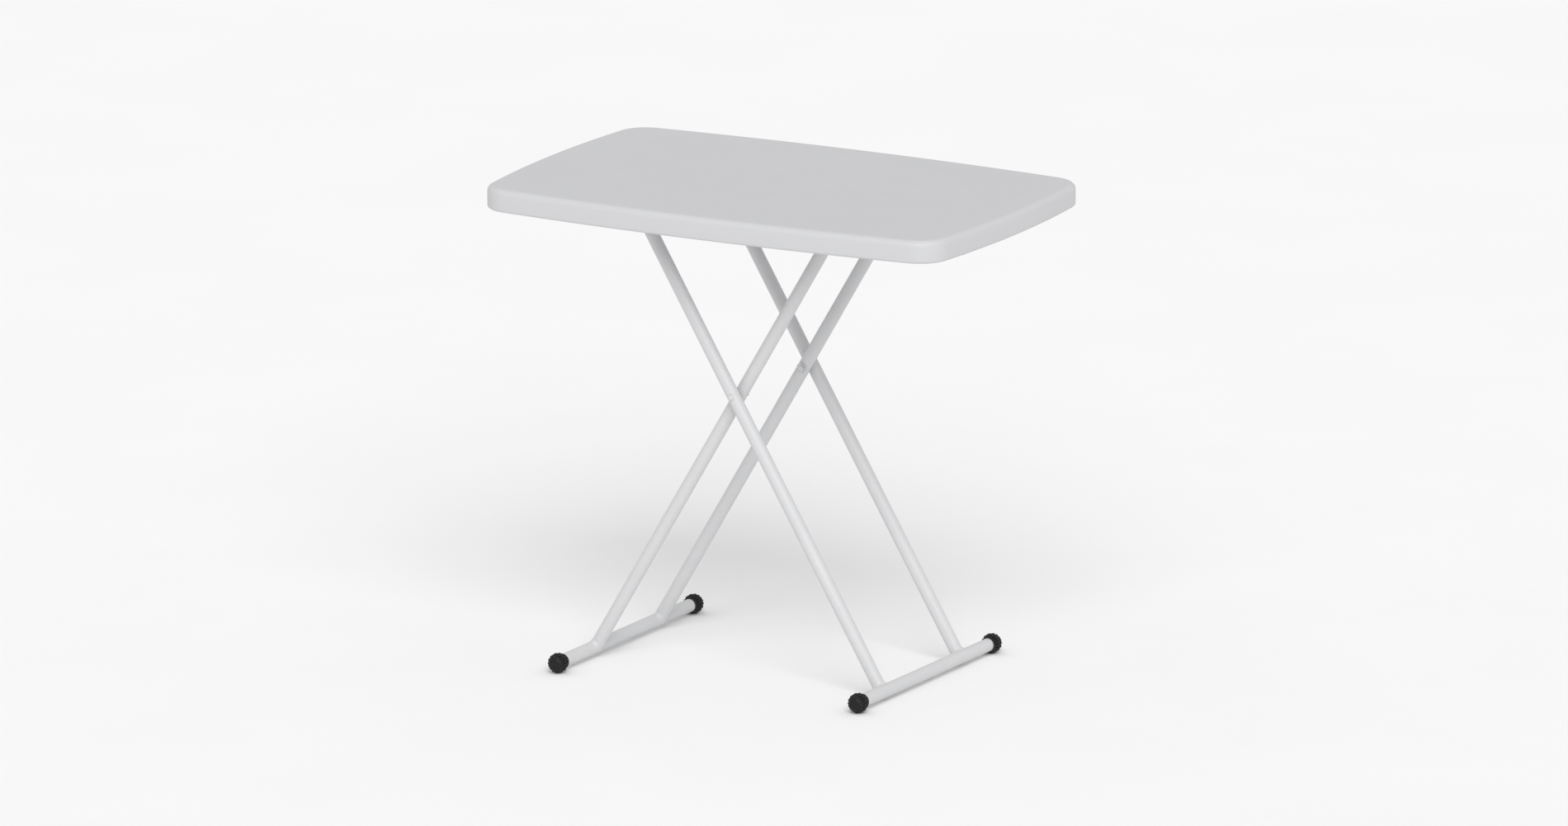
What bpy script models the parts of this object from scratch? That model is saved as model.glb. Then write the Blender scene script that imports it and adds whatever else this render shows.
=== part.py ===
"""Folding side table: a moulded double-wall top on two crossed frames of round steel tube.

The outer frame hangs in two saddles under the top.  The inner frame is riveted to it where the
legs cross, and its crossbar is held up in a stepped rack by a sprung wire bail.

Metres, +Z up.  The origin is on the floor under the middle of the top, +X runs along its length.
"""

import math

import bmesh
import bpy
from mathutils import Matrix, Vector

# ---------------------------------------------------------------- driving dimensions
GAP = 0.0003                      # left between pieces that touch

TOP_LENGTH = 0.760
TOP_WIDTH = 0.490
TOP_HEIGHT = 0.704                # floor to the top surface
TOP_THICKNESS = 0.033             # at the rim
LONG_SIDE_BOW = 0.020             # how far each side bulges between its corners
SHORT_SIDE_BOW = 0.0175
CORNER_RADIUS = 0.047
TOP_EDGE_RADIUS = 0.009
LOWER_EDGE_RADIUS = 0.004
PANEL_THICKNESS = 0.020           # top surface down to the recess ceiling
RIM_WIDTH = 0.018
WALL = 0.0025
BLOW_HOLE_RADIUS = 0.004
BLOW_HOLE_PLACE = (-0.300, 0.0)
PLUG_FLANGE_RADIUS = 0.0065

TUBE_RADIUS = 0.0095
TUBE_WALL = 0.0012
TUBE_SIDES = 24
LEAN = math.radians(30.7)         # legs from the vertical
PIVOT_X = -0.0138                 # where the legs cross
PIVOT_Z = 0.4151
OUTER_LEG_Y = 0.1158
INNER_LEG_Y = 0.0937
FOLDED_CLEARANCE = 0.003          # folded tubes pass under the rim with this to spare
FOOT_BAR_HALF = 0.2065
OUTER_FOOT_STEP = 0.0091          # foot bar outboard of its leg axes
INNER_FOOT_STEP = 0.0021
CROSSBAR_OVERHANG = 0.004         # outer crossbar beyond its legs

CAP_RIBS = 16
CAP_RADIUS = 0.0145
CAP_ROOT_RADIUS = 0.0122
CAP_COLLAR_RADIUS = 0.0124
CAP_END_RADIUS = 0.0088
CAP_LENGTH = 0.0255
CAP_END_WALL = 0.006

RIVET_RADIUS = 0.0026
RIVET_HEAD_RADIUS = 0.0046
RIVET_HEAD_HEIGHT = 0.0020
WASHER_RADIUS = 0.0072
WASHER_THICKNESS = 0.0010
SPACER_RADIUS = 0.0080

SADDLE_Y = 0.0650
SADDLE_HALF_LENGTH = 0.0200
SADDLE_WIDTH = 0.018
STRAP_THICKNESS = 0.0015
SADDLE_SCREW_X = 0.0155

RACK_Y = 0.0440
RACK_THICKNESS = 0.0020
RACK_FLANGE = 0.016
RACK_MARGIN = 0.018               # rack beyond its first and last notch
NOTCHES = 5
NOTCH_PITCH = 0.036
NOTCH_HALF_WIDTH = 0.0102
NOTCH_DEPTH = 0.0085
BAR_CLEARANCE = 0.0010            # the crossbar passes under the rack's teeth with this to spare

BAIL_WIRE = 0.00175
BAIL_CLEARANCE = 0.00125          # between the crossbar and the bail under it
BAIL_PIVOT_X = 0.095
BAIL_REACH_X = 0.310
BAIL_ARM_Y = 0.060
BAIL_PIN_Y = 0.0800
BAIL_CORNER = 0.010
GRIP_RADIUS = 0.0050
GRIP_HALF_LENGTH = 0.036
BRACKET_Y = 0.0725
BRACKET_THICKNESS = 0.0015
BRACKET_HALF_WIDTH = 0.007
BRACKET_FLANGE = 0.013
SPRING_WIRE = 0.0005
SPRING_RADIUS = 0.0034
SPRING_TURNS = 3
SPRING_HOOK = 0.018

SCREW_RADIUS = 0.0019
SCREW_HOLE = 0.0022
SCREW_HEAD_RADIUS = 0.0040
SCREW_HEAD_HEIGHT = 0.0022
SCREW_GRIP = 0.008                # screw inside the moulding
RACK_SCREW_PARTS = (0.08, 0.5, 0.92)  # along the rack
FLANGE_SCREW_PART = 0.55          # across a flange

# ---------------------------------------------------------------- worked out
RIM_BOTTOM = TOP_HEIGHT - TOP_THICKNESS
CEILING = TOP_HEIGHT - PANEL_THICKNESS
CROSSBAR_Z = RIM_BOTTOM - TUBE_RADIUS - FOLDED_CLEARANCE
FOOT_Z = CAP_RADIUS * math.cos(math.pi / (3 * CAP_RIBS))
SLOPE = math.tan(LEAN)
UPPER_RUN = (CROSSBAR_Z - PIVOT_Z) * SLOPE
LOWER_RUN = (PIVOT_Z - FOOT_Z) * SLOPE
OUTER_BAR_X = PIVOT_X - UPPER_RUN
INNER_BAR_X = PIVOT_X + UPPER_RUN
BAIL_Z = CROSSBAR_Z - TUBE_RADIUS - BAIL_WIRE - BAIL_CLEARANCE
RACK_TIP = CROSSBAR_Z + TUBE_RADIUS + BAR_CLEARANCE
RACK_START = INNER_BAR_X - RACK_MARGIN
RACK_END = INNER_BAR_X + (NOTCHES - 1) * NOTCH_PITCH + RACK_MARGIN
CUT_RADIUS = TUBE_RADIUS + GAP


# ---------------------------------------------------------------- collections and finishes
def fresh_collections():
    """Empty the scene and return the collections for the parts and for the cutters."""
    for obj in list(bpy.data.objects):
        bpy.data.objects.remove(obj)
    parts = bpy.data.collections.new("folding_side_table")
    cutters = bpy.data.collections.new("cutters")
    for collection in (parts, cutters):
        bpy.context.scene.collection.children.link(collection)
    return parts, cutters


PARTS, CUTTERS = fresh_collections()


def finish(name, colour, roughness, metallic=0.0):
    """A plain surface finish."""
    material = bpy.data.materials.new(name)
    material.use_nodes = True
    shader = material.node_tree.nodes["Principled BSDF"]
    shader.inputs["Base Color"].default_value = (*colour, 1.0)
    shader.inputs["Roughness"].default_value = roughness
    shader.inputs["Metallic"].default_value = metallic
    return material


MOULDED_WHITE = finish("moulded_white", (0.62, 0.62, 0.64), 0.50)
FRAME_PAINT = finish("frame_paint", (0.68, 0.69, 0.71), 0.35)
BLACK_PLASTIC = finish("black_plastic", (0.015, 0.015, 0.016), 0.45)
ZINC = finish("zinc", (0.62, 0.63, 0.65), 0.30, 1.0)
NYLON = finish("nylon", (0.55, 0.55, 0.53), 0.55)
SPRING_STEEL = finish("spring_steel", (0.45, 0.45, 0.46), 0.30, 1.0)


def place(obj, collection, material=None, parent=None):
    """Move an object to a collection, dress it, and parent it where it stands."""
    for old in list(obj.users_collection):
        old.objects.unlink(obj)
    collection.objects.link(obj)
    if material:
        obj.data.materials.clear()
        obj.data.materials.append(material)
    if parent:
        obj.parent = parent
        obj.matrix_parent_inverse = Matrix.Translation(parent.location).inverted()
    return obj


def joint_empty(name, location, parent=None):
    """An empty on a joint's axis, which carries the pieces that turn there."""
    empty = bpy.data.objects.new(name, None)
    empty.location = location
    empty.empty_display_size = 0.03
    PARTS.objects.link(empty)
    if parent:
        empty.parent = parent
        empty.matrix_parent_inverse = Matrix.Translation(parent.location).inverted()
        bpy.context.view_layer.update()
    return empty


# ---------------------------------------------------------------- shape helpers
def smooth(mesh, angle=35.0):
    """Shade a mesh smooth except at its real edges."""
    mesh.shade_smooth()
    mesh.set_sharp_from_angle(angle=math.radians(angle))


def object_from(bm, name):
    """Finish a bmesh as an object."""
    mesh = bpy.data.meshes.new(name)
    bm.to_mesh(mesh)
    bm.free()
    smooth(mesh)
    return bpy.data.objects.new(name, mesh)


def turn_between(start, end):
    """The rotation that takes +Z to the direction from start to end."""
    return (Vector(end) - Vector(start)).to_track_quat('Z', 'Y').to_euler()


def rod(name, start, end, radius, sides=TUBE_SIDES, ends='NGON'):
    """A round bar, or with open ends the skin of a tube."""
    start, end = Vector(start), Vector(end)
    bpy.ops.mesh.primitive_cylinder_add(
        vertices=sides, radius=radius, depth=(end - start).length, end_fill_type=ends,
        location=(start + end) / 2, rotation=turn_between(start, end))
    obj = bpy.context.object
    obj.name = name
    return obj


def tube(name, start, end, material, parent):
    """A length of frame tube, open at both ends."""
    obj = place(rod(name, start, end, TUBE_RADIUS, ends='NOTHING'), PARTS, material, parent)
    smooth(obj.data)
    wall = obj.modifiers.new("wall", 'SOLIDIFY')
    wall.thickness = TUBE_WALL
    wall.offset = -1
    return obj


def cutter(name, start, end, radius, sides=TUBE_SIDES):
    """A round bar that is taken out of other pieces."""
    obj = place(rod(name, start, end, radius, sides), CUTTERS)
    obj.hide_render = True
    obj.display_type = 'WIRE'
    return obj


def combine(obj, other, operation):
    """Cut another solid out of an object, or join it on."""
    step = obj.modifiers.new(other.name, 'BOOLEAN')
    step.operation = operation
    step.object = other
    step.solver = 'EXACT'


def turned(name, profile, place_at, turn, material, parent, closed=False, steps=16):
    """A turned piece: a half profile (radius, height), top to bottom, swept about local Z."""
    mesh = bpy.data.meshes.new(name)
    count = len(profile)
    edges = [(i, i + 1) for i in range(count - 1)]
    if closed:
        edges.append((count - 1, 0))
    mesh.from_pydata([(radius, 0.0, height) for radius, height in profile], edges, [])
    obj = bpy.data.objects.new(name, mesh)
    obj.location = place_at
    obj.rotation_euler = turn
    spin = obj.modifiers.new("turn", 'SCREW')
    spin.axis = 'Z'
    spin.steps = steps
    spin.render_steps = steps
    spin.use_merge_vertices = True
    spin.merge_threshold = 0.0001
    spin.use_smooth_shade = True
    return place(obj, PARTS, material, parent)


def flat_plate(name, outline, thickness, y):
    """A mesh plate cut to an outline (x, z), standing upright across Y."""
    curve = bpy.data.curves.new(name, 'CURVE')
    curve.dimensions = '2D'
    curve.fill_mode = 'BOTH'
    curve.extrude = thickness / 2
    spline = curve.splines.new('POLY')
    spline.points.add(len(outline) - 1)
    for point, (x, z) in zip(spline.points, outline):
        point.co = (x, z, 0.0, 1.0)
    spline.use_cyclic_u = True
    guide = bpy.data.objects.new(name + "_outline", curve)
    guide.location = (0.0, y, 0.0)
    guide.rotation_euler = (math.pi / 2, 0.0, 0.0)
    return meshed(guide, name)


def meshed(guide, name):
    """Turn a curve object into a mesh object with closed seams."""
    bpy.context.scene.collection.objects.link(guide)
    bpy.context.view_layer.update()
    evaluated = guide.evaluated_get(bpy.context.evaluated_depsgraph_get())
    mesh = bpy.data.meshes.new_from_object(evaluated)
    bm = bmesh.new()
    bm.from_mesh(mesh)
    bmesh.ops.remove_doubles(bm, verts=bm.verts, dist=0.00001)
    bmesh.ops.recalc_face_normals(bm, faces=bm.faces)
    bm.to_mesh(mesh)
    bm.free()
    smooth(mesh)
    obj = bpy.data.objects.new(name, mesh)
    obj.matrix_world = guide.matrix_world.copy()
    bpy.data.objects.remove(guide)
    return obj


def block(name, low, high, collection, material=None, parent=None):
    """A rectangular block between two corners."""
    low, high = Vector(low), Vector(high)
    bpy.ops.mesh.primitive_cube_add(size=1.0, location=(low + high) / 2)
    obj = bpy.context.object
    obj.name = name
    obj.data.transform(Matrix.Diagonal((*(high - low), 1.0)))
    place(obj, collection, material, parent)
    if collection is CUTTERS:
        obj.hide_render = True
        obj.display_type = 'WIRE'
    return obj


def wire(name, points, radius, material, parent):
    """A round wire along a list of points."""
    curve = bpy.data.curves.new(name, 'CURVE')
    curve.dimensions = '3D'
    curve.bevel_depth = radius
    curve.bevel_resolution = 2
    curve.use_fill_caps = True
    spline = curve.splines.new('POLY')
    spline.points.add(len(points) - 1)
    for point, co in zip(spline.points, points):
        point.co = (*co, 1.0)
    obj = bpy.data.objects.new(name, curve)
    return place(obj, PARTS, material, parent)


# ---------------------------------------------------------------- tabletop
def corner_circle(half_x, half_y, long_radius, short_radius, radius):
    """Centre of the corner arc that touches both side arcs from inside."""
    low = Vector((0.0, half_y - long_radius))
    side = Vector((half_x - short_radius, 0.0))
    reach_low, reach_side = long_radius - radius, short_radius - radius
    between = side - low
    span = between.length
    along = (reach_low**2 - reach_side**2 + span**2) / (2 * span)
    across = math.sqrt(reach_low**2 - along**2)
    unit = between / span
    foot = low + unit * along
    normal = Vector((-unit.y, unit.x))
    options = (foot + normal * across, foot - normal * across)
    return max(options, key=lambda point: point.x + point.y), low, side


def arc(centre, radius, start, end, steps):
    """Points along an arc, without its last point."""
    turns = (start + (end - start) * step / steps for step in range(steps))
    return [(centre.x + radius * math.cos(turn), centre.y + radius * math.sin(turn)) for turn in turns]


def bowed_outline(inset):
    """The top's outline, four bowed sides and four round corners, drawn in by an inset."""
    half_x, half_y = TOP_LENGTH / 2, TOP_WIDTH / 2
    long_radius = (half_x**2 + LONG_SIDE_BOW**2) / (2 * LONG_SIDE_BOW)
    short_radius = (half_y**2 + SHORT_SIDE_BOW**2) / (2 * SHORT_SIDE_BOW)
    corner, low, side = corner_circle(half_x, half_y, long_radius, short_radius, CORNER_RADIUS)
    side_turn = math.atan2(corner.y - side.y, corner.x - side.x)
    low_turn = math.atan2(corner.y - low.y, corner.x - low.x)
    quarter = arc(side, short_radius - inset, 0.0, side_turn, 4)
    quarter += arc(corner, CORNER_RADIUS - inset, side_turn, low_turn, 6)
    quarter += arc(low, long_radius - inset, low_turn, math.pi / 2, 5)
    quarter.append((0.0, half_y - inset))
    turned_back = quarter[::-1]
    outline = quarter[:-1]
    outline += [(-x, y) for x, y in turned_back[:-1]]
    outline += [(-x, -y) for x, y in quarter[:-1]]
    outline += [(x, -y) for x, y in turned_back[:-1]]
    return outline


def stacked(name, levels):
    """A closed solid of outlines (inset, z) stacked from its top face to its bottom face."""
    bm = bmesh.new()
    rings = [[bm.verts.new((x, y, z)) for x, y in bowed_outline(inset)] for inset, z in levels]
    for upper, lower in zip(rings, rings[1:]):
        for index, vert in enumerate(upper):
            after = (index + 1) % len(upper)
            bm.faces.new((vert, lower[index], lower[after], upper[after]))
    bm.faces.new(rings[0])
    bm.faces.new(rings[-1][::-1])
    return object_from(bm, name)


def rounded_edge(radius, z, turns, steps):
    """Inset and height along a rounded edge whose arc centre is at height z."""
    first, last = turns
    angles = (first + (last - first) * step / steps for step in range(steps + 1))
    return [(radius * (1 - math.cos(angle)), z + radius * math.sin(angle)) for angle in angles]


def tabletop_shell(screw_cutters):
    """The double-wall moulding: flat top, round edge, deep rim and recessed underside."""
    outer = rounded_edge(TOP_EDGE_RADIUS, TOP_HEIGHT - TOP_EDGE_RADIUS, (math.pi / 2, 0.0), 4)
    outer += rounded_edge(LOWER_EDGE_RADIUS, RIM_BOTTOM + LOWER_EDGE_RADIUS, (0.0, -math.pi / 2), 2)
    outer += [(RIM_WIDTH, RIM_BOTTOM), (RIM_WIDTH + 0.002, RIM_BOTTOM + 0.002),
              (RIM_WIDTH + 0.005, CEILING - 0.002), (RIM_WIDTH + 0.008, CEILING)]
    shell = place(stacked("tabletop_shell", outer), PARTS, MOULDED_WHITE)

    edge = TOP_EDGE_RADIUS - WALL
    inner = [(inset + WALL, z) for inset, z in
             rounded_edge(edge, TOP_HEIGHT - TOP_EDGE_RADIUS, (math.pi / 2, 0.0), 3)]
    inner += [(WALL, RIM_BOTTOM + 2 * WALL), (2 * WALL, RIM_BOTTOM + WALL),
              (RIM_WIDTH - WALL, RIM_BOTTOM + WALL), (RIM_WIDTH + 0.002, CEILING),
              (RIM_WIDTH + 0.006, CEILING + WALL)]
    cavity = place(stacked("shell_cavity", inner), CUTTERS)
    cavity.hide_render = True
    cavity.display_type = 'WIRE'
    combine(shell, cavity, 'DIFFERENCE')

    x, y = BLOW_HOLE_PLACE
    hole = cutter("blow_hole", (x, y, CEILING - 0.002), (x, y, CEILING + 2 * WALL),
                  BLOW_HOLE_RADIUS, 16)
    for hole_cutter in [hole, *screw_cutters]:
        combine(shell, hole_cutter, 'DIFFERENCE')


def blow_hole_plug():
    """Push-in plug that closes the moulding's blow hole."""
    x, y = BLOW_HOLE_PLACE
    stem = BLOW_HOLE_RADIUS - GAP
    profile = [(0.0, 0.007), (stem, 0.006), (stem, -GAP), (PLUG_FLANGE_RADIUS, -GAP),
               (PLUG_FLANGE_RADIUS - 0.0005, -0.0015), (0.0, -0.0019)]
    turned("blow_hole_plug", profile, (x, y, CEILING), (0.0, 0.0, 0.0), BLACK_PLASTIC, None)


# ---------------------------------------------------------------- fasteners
def screw(name, x, y, seat):
    """A pan-head screw driven upwards, its head against a face at height seat."""
    length = CEILING + SCREW_GRIP - seat
    head = seat - GAP
    profile = [(0.0, seat + length), (SCREW_RADIUS, seat + length - 0.002), (SCREW_RADIUS, head),
               (SCREW_HEAD_RADIUS, head), (SCREW_HEAD_RADIUS * 0.8, head - SCREW_HEAD_HEIGHT * 0.8),
               (0.0, head - SCREW_HEAD_HEIGHT)]
    turned(name, profile, (x, y, 0.0), (0.0, 0.0, 0.0), ZINC, None, steps=10)


def screw_cutter(name, x, y, seat):
    """Clearance for a screw through everything between its seat and the moulding's cavity."""
    return cutter(name + "_hole", (x, y, seat - 0.002), (x, y, CEILING + 2 * WALL), SCREW_HOLE, 10)


# ---------------------------------------------------------------- saddles for the outer frame
def saddle_blocks(side, y, holes):
    """Nylon block that spaces the outer crossbar off the top, with its bearing cut half round."""
    body = block("hinge_block_" + side, (OUTER_BAR_X - SADDLE_HALF_LENGTH, y - SADDLE_WIDTH / 2, CROSSBAR_Z),
                 (OUTER_BAR_X + SADDLE_HALF_LENGTH, y + SADDLE_WIDTH / 2, CEILING - GAP), PARTS, NYLON)
    bearing = cutter("bearing_" + side, (OUTER_BAR_X, y - SADDLE_WIDTH, CROSSBAR_Z),
                     (OUTER_BAR_X, y + SADDLE_WIDTH, CROSSBAR_Z), CUT_RADIUS)
    for hole in [bearing, *holes]:
        combine(body, hole, 'DIFFERENCE')


def saddle_strap(side, y, holes):
    """Steel strap under the crossbar, screwed up through the nylon block."""
    top = CROSSBAR_Z - GAP
    lower = top - STRAP_THICKNESS
    outer = CUT_RADIUS + STRAP_THICKNESS
    shoulder = math.asin(STRAP_THICKNESS / outer)
    left, right = OUTER_BAR_X - SADDLE_HALF_LENGTH, OUTER_BAR_X + SADDLE_HALF_LENGTH
    centre = Vector((OUTER_BAR_X, top))
    outline = [(right, top)]
    outline += arc(centre, CUT_RADIUS, 0.0, -math.pi, 12)
    outline += [(OUTER_BAR_X - CUT_RADIUS, top), (left, top), (left, lower)]
    outline += arc(centre, outer, shoulder - math.pi, -shoulder, 12)
    outline += [(OUTER_BAR_X + outer * math.cos(shoulder), lower), (right, lower)]
    strap = flat_plate("hinge_strap_" + side, outline, SADDLE_WIDTH, y)
    place(strap, PARTS, ZINC)
    for hole in holes:
        combine(strap, hole, 'DIFFERENCE')


# ---------------------------------------------------------------- stepped rack
def rack_outline():
    """Side view of the rack: straight along the top, a row of round notches along the bottom."""
    points = [(RACK_END, CEILING - GAP), (RACK_START, CEILING - GAP), (RACK_START, RACK_TIP)]
    steps = 8
    for notch in range(NOTCHES):
        centre = INNER_BAR_X + notch * NOTCH_PITCH
        for step in range(steps + 1):
            turn = math.pi * step / steps
            points.append((centre - NOTCH_HALF_WIDTH * math.cos(turn), RACK_TIP + NOTCH_DEPTH * math.sin(turn)))
    points.append((RACK_END, RACK_TIP))
    return points


def rack_plate(side, sign, holes):
    """One notched plate of the height rack with its screwing flange."""
    plate = flat_plate("height_rack_" + side, rack_outline(), RACK_THICKNESS, sign * RACK_Y)
    place(plate, PARTS, FRAME_PAINT)
    inner, outer = sorted((sign * (RACK_Y - RACK_FLANGE), sign * RACK_Y))
    flange = block("rack_flange_" + side, (RACK_START, inner, CEILING - GAP - RACK_THICKNESS),
                   (RACK_END, outer, CEILING - GAP), CUTTERS)
    combine(plate, flange, 'UNION')
    for hole in holes:
        combine(plate, hole, 'DIFFERENCE')


# ---------------------------------------------------------------- release bail
def bail_bracket(side, sign, holes):
    """Angle bracket whose eye carries one end of the bail."""
    half, steps = BRACKET_HALF_WIDTH, 8
    outline = [(BAIL_PIVOT_X + half, CEILING - GAP), (BAIL_PIVOT_X - half, CEILING - GAP)]
    for step in range(steps + 1):
        turn = -math.pi + math.pi * step / steps
        outline.append((BAIL_PIVOT_X + half * math.cos(turn), BAIL_Z + 0.8 * half * math.sin(turn)))
    bracket = flat_plate("bail_bracket_" + side, outline, BRACKET_THICKNESS, sign * BRACKET_Y)
    place(bracket, PARTS, ZINC)
    low, high = sorted((sign * BRACKET_Y, sign * (BRACKET_Y + BRACKET_FLANGE)))
    flange = block("bracket_flange_" + side, (BAIL_PIVOT_X - half, low, CEILING - GAP - BRACKET_THICKNESS),
                   (BAIL_PIVOT_X + half, high, CEILING - GAP), CUTTERS)
    combine(bracket, flange, 'UNION')
    eye = cutter("bracket_eye_" + side, (BAIL_PIVOT_X, sign * (BRACKET_Y - 0.003), BAIL_Z),
                 (BAIL_PIVOT_X, sign * (BRACKET_Y + 0.003), BAIL_Z), BAIL_WIRE + GAP, 16)
    for hole in [eye, *holes]:
        combine(bracket, hole, 'DIFFERENCE')


def bent(corner, start, end, radius, steps=4):
    """Points round a bend at a corner between two neighbours."""
    corner, start, end = Vector(corner), Vector(start), Vector(end)
    before, after = (start - corner).normalized(), (end - corner).normalized()
    centre = corner + (before + after) * radius
    points = []
    for step in range(steps + 1):
        turn = math.pi / 2 * step / steps
        points.append(centre - after * radius * math.cos(turn) - before * radius * math.sin(turn))
    return [tuple(point) for point in points]


def bail_route():
    """Centre line of the bail: pin, arm, handle, arm, pin."""
    corners = [(BAIL_PIVOT_X, BAIL_PIN_Y, BAIL_Z), (BAIL_PIVOT_X, BAIL_ARM_Y, BAIL_Z),
               (BAIL_REACH_X, BAIL_ARM_Y, BAIL_Z), (BAIL_REACH_X, -BAIL_ARM_Y, BAIL_Z),
               (BAIL_PIVOT_X, -BAIL_ARM_Y, BAIL_Z), (BAIL_PIVOT_X, -BAIL_PIN_Y, BAIL_Z)]
    radii = [BAIL_WIRE * 2, BAIL_CORNER, BAIL_CORNER, BAIL_WIRE * 2]
    route = [corners[0]]
    for index, radius in enumerate(radii, start=1):
        route += bent(corners[index], corners[index - 1], corners[index + 1], radius)
    route.append(corners[-1])
    return route


def release_bail():
    """The wire bail under the inner crossbar, and its grip, on their joint's axis."""
    axis = joint_empty("release_bail_axis", (BAIL_PIVOT_X, 0.0, BAIL_Z))
    wire("release_bail_wire", bail_route(), BAIL_WIRE, SPRING_STEEL, axis)
    bore, half = BAIL_WIRE + GAP, GRIP_HALF_LENGTH
    profile = [(bore, half), (GRIP_RADIUS * 0.8, half), (GRIP_RADIUS, half - 0.002),
               (GRIP_RADIUS, -half + 0.002), (GRIP_RADIUS * 0.8, -half), (bore, -half)]
    turned("release_grip", profile, (BAIL_REACH_X, 0.0, BAIL_Z), (math.pi / 2, 0.0, 0.0),
           BLACK_PLASTIC, axis, closed=True)


def bail_spring(side, sign):
    """Torsion spring on the bail's pin: one tail on the top, one hooked under the bail's arm."""
    start_y, pitch = BRACKET_Y - 0.0030, 2.6 * SPRING_WIRE
    ceiling_tail = (BAIL_PIVOT_X - SPRING_RADIUS, sign * start_y, CEILING - GAP - SPRING_WIRE)
    points = [ceiling_tail]
    per_turn = 8
    for step in range(int((SPRING_TURNS + 0.25) * per_turn) + 1):
        turn = math.pi + 2 * math.pi * step / per_turn
        y = start_y - pitch * step / per_turn
        points.append((BAIL_PIVOT_X + SPRING_RADIUS * math.cos(turn), sign * y,
                       BAIL_Z + SPRING_RADIUS * math.sin(turn)))
    under = BAIL_Z - BAIL_WIRE - SPRING_WIRE - GAP
    last_y = abs(points[-1][1])
    points.append((BAIL_PIVOT_X + SPRING_HOOK * 0.8, sign * last_y, under - 0.0004))
    points.append((BAIL_PIVOT_X + SPRING_HOOK, sign * (last_y - 0.0012), under))
    points.append((BAIL_PIVOT_X + SPRING_HOOK, sign * (BAIL_ARM_Y - 0.002), under))
    wire("bail_spring_" + side, points, SPRING_WIRE, SPRING_STEEL, None)


# ---------------------------------------------------------------- frames
def leg_cutters(name, bar_x, foot_x):
    """Cutters that shape a frame's leg ends to its crossbar and its foot bar."""
    reach = FOOT_BAR_HALF
    top = cutter(name + "_crossbar_cope", (bar_x, -reach, CROSSBAR_Z), (bar_x, reach, CROSSBAR_Z), CUT_RADIUS)
    foot = cutter(name + "_foot_cope", (foot_x, -reach, FOOT_Z), (foot_x, reach, FOOT_Z), CUT_RADIUS)
    rivet = cutter(name + "_rivet_hole", (PIVOT_X, -reach, PIVOT_Z), (PIVOT_X, reach, PIVOT_Z),
                   RIVET_RADIUS + GAP, 16)
    return top, foot, rivet


def frame(name, bar_x, foot_step, leg_y, plug_end, parent):
    """Two legs, a crossbar with plugs, and a capped foot bar.  The legs lean away from bar_x."""
    outward = 1.0 if bar_x < PIVOT_X else -1.0
    leg_foot_x = PIVOT_X + outward * LOWER_RUN
    foot_x = leg_foot_x + outward * foot_step
    copes = leg_cutters(name, bar_x, foot_x)
    for side, sign in (("front", -1), ("rear", 1)):
        y = sign * leg_y
        leg = tube(name + "_leg_" + side, (bar_x, y, CROSSBAR_Z), (leg_foot_x, y, FOOT_Z), FRAME_PAINT, parent)
        for cope in copes:
            combine(leg, cope, 'DIFFERENCE')
        crossbar_plug(name, side, (bar_x, sign * plug_end, CROSSBAR_Z), sign, parent)
        end_cap(name, side, foot_x, sign, parent)
    tube(name + "_crossbar", (bar_x, -plug_end, CROSSBAR_Z), (bar_x, plug_end, CROSSBAR_Z), FRAME_PAINT, parent)
    tube(name + "_foot_bar", (foot_x, -FOOT_BAR_HALF, FOOT_Z), (foot_x, FOOT_BAR_HALF, FOOT_Z),
         FRAME_PAINT, parent)


def crossbar_plug(name, side, end, sign, parent):
    """Plastic plug that closes one end of a crossbar."""
    stem = TUBE_RADIUS - TUBE_WALL - GAP
    profile = [(0.0, 0.0016), (TUBE_RADIUS * 0.8, 0.0013), (TUBE_RADIUS, GAP), (stem, GAP),
               (stem, -0.009), (0.0, -0.010)]
    turned(name + "_plug_" + side, profile, end, (-sign * math.pi / 2, 0.0, 0.0), BLACK_PLASTIC, parent)


def ribbed_ring(bm, tip, root, z):
    """One ring of a ribbed cap: a rib has two tip points and stands on them at the bottom."""
    ring = []
    count = 3 * CAP_RIBS
    for index in range(count):
        angle = 2 * math.pi * (index - 1.5) / count - math.pi / 2
        radius = root if index % 3 == 0 else tip
        ring.append(bm.verts.new((radius * math.cos(angle), radius * math.sin(angle), z)))
    return ring


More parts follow.
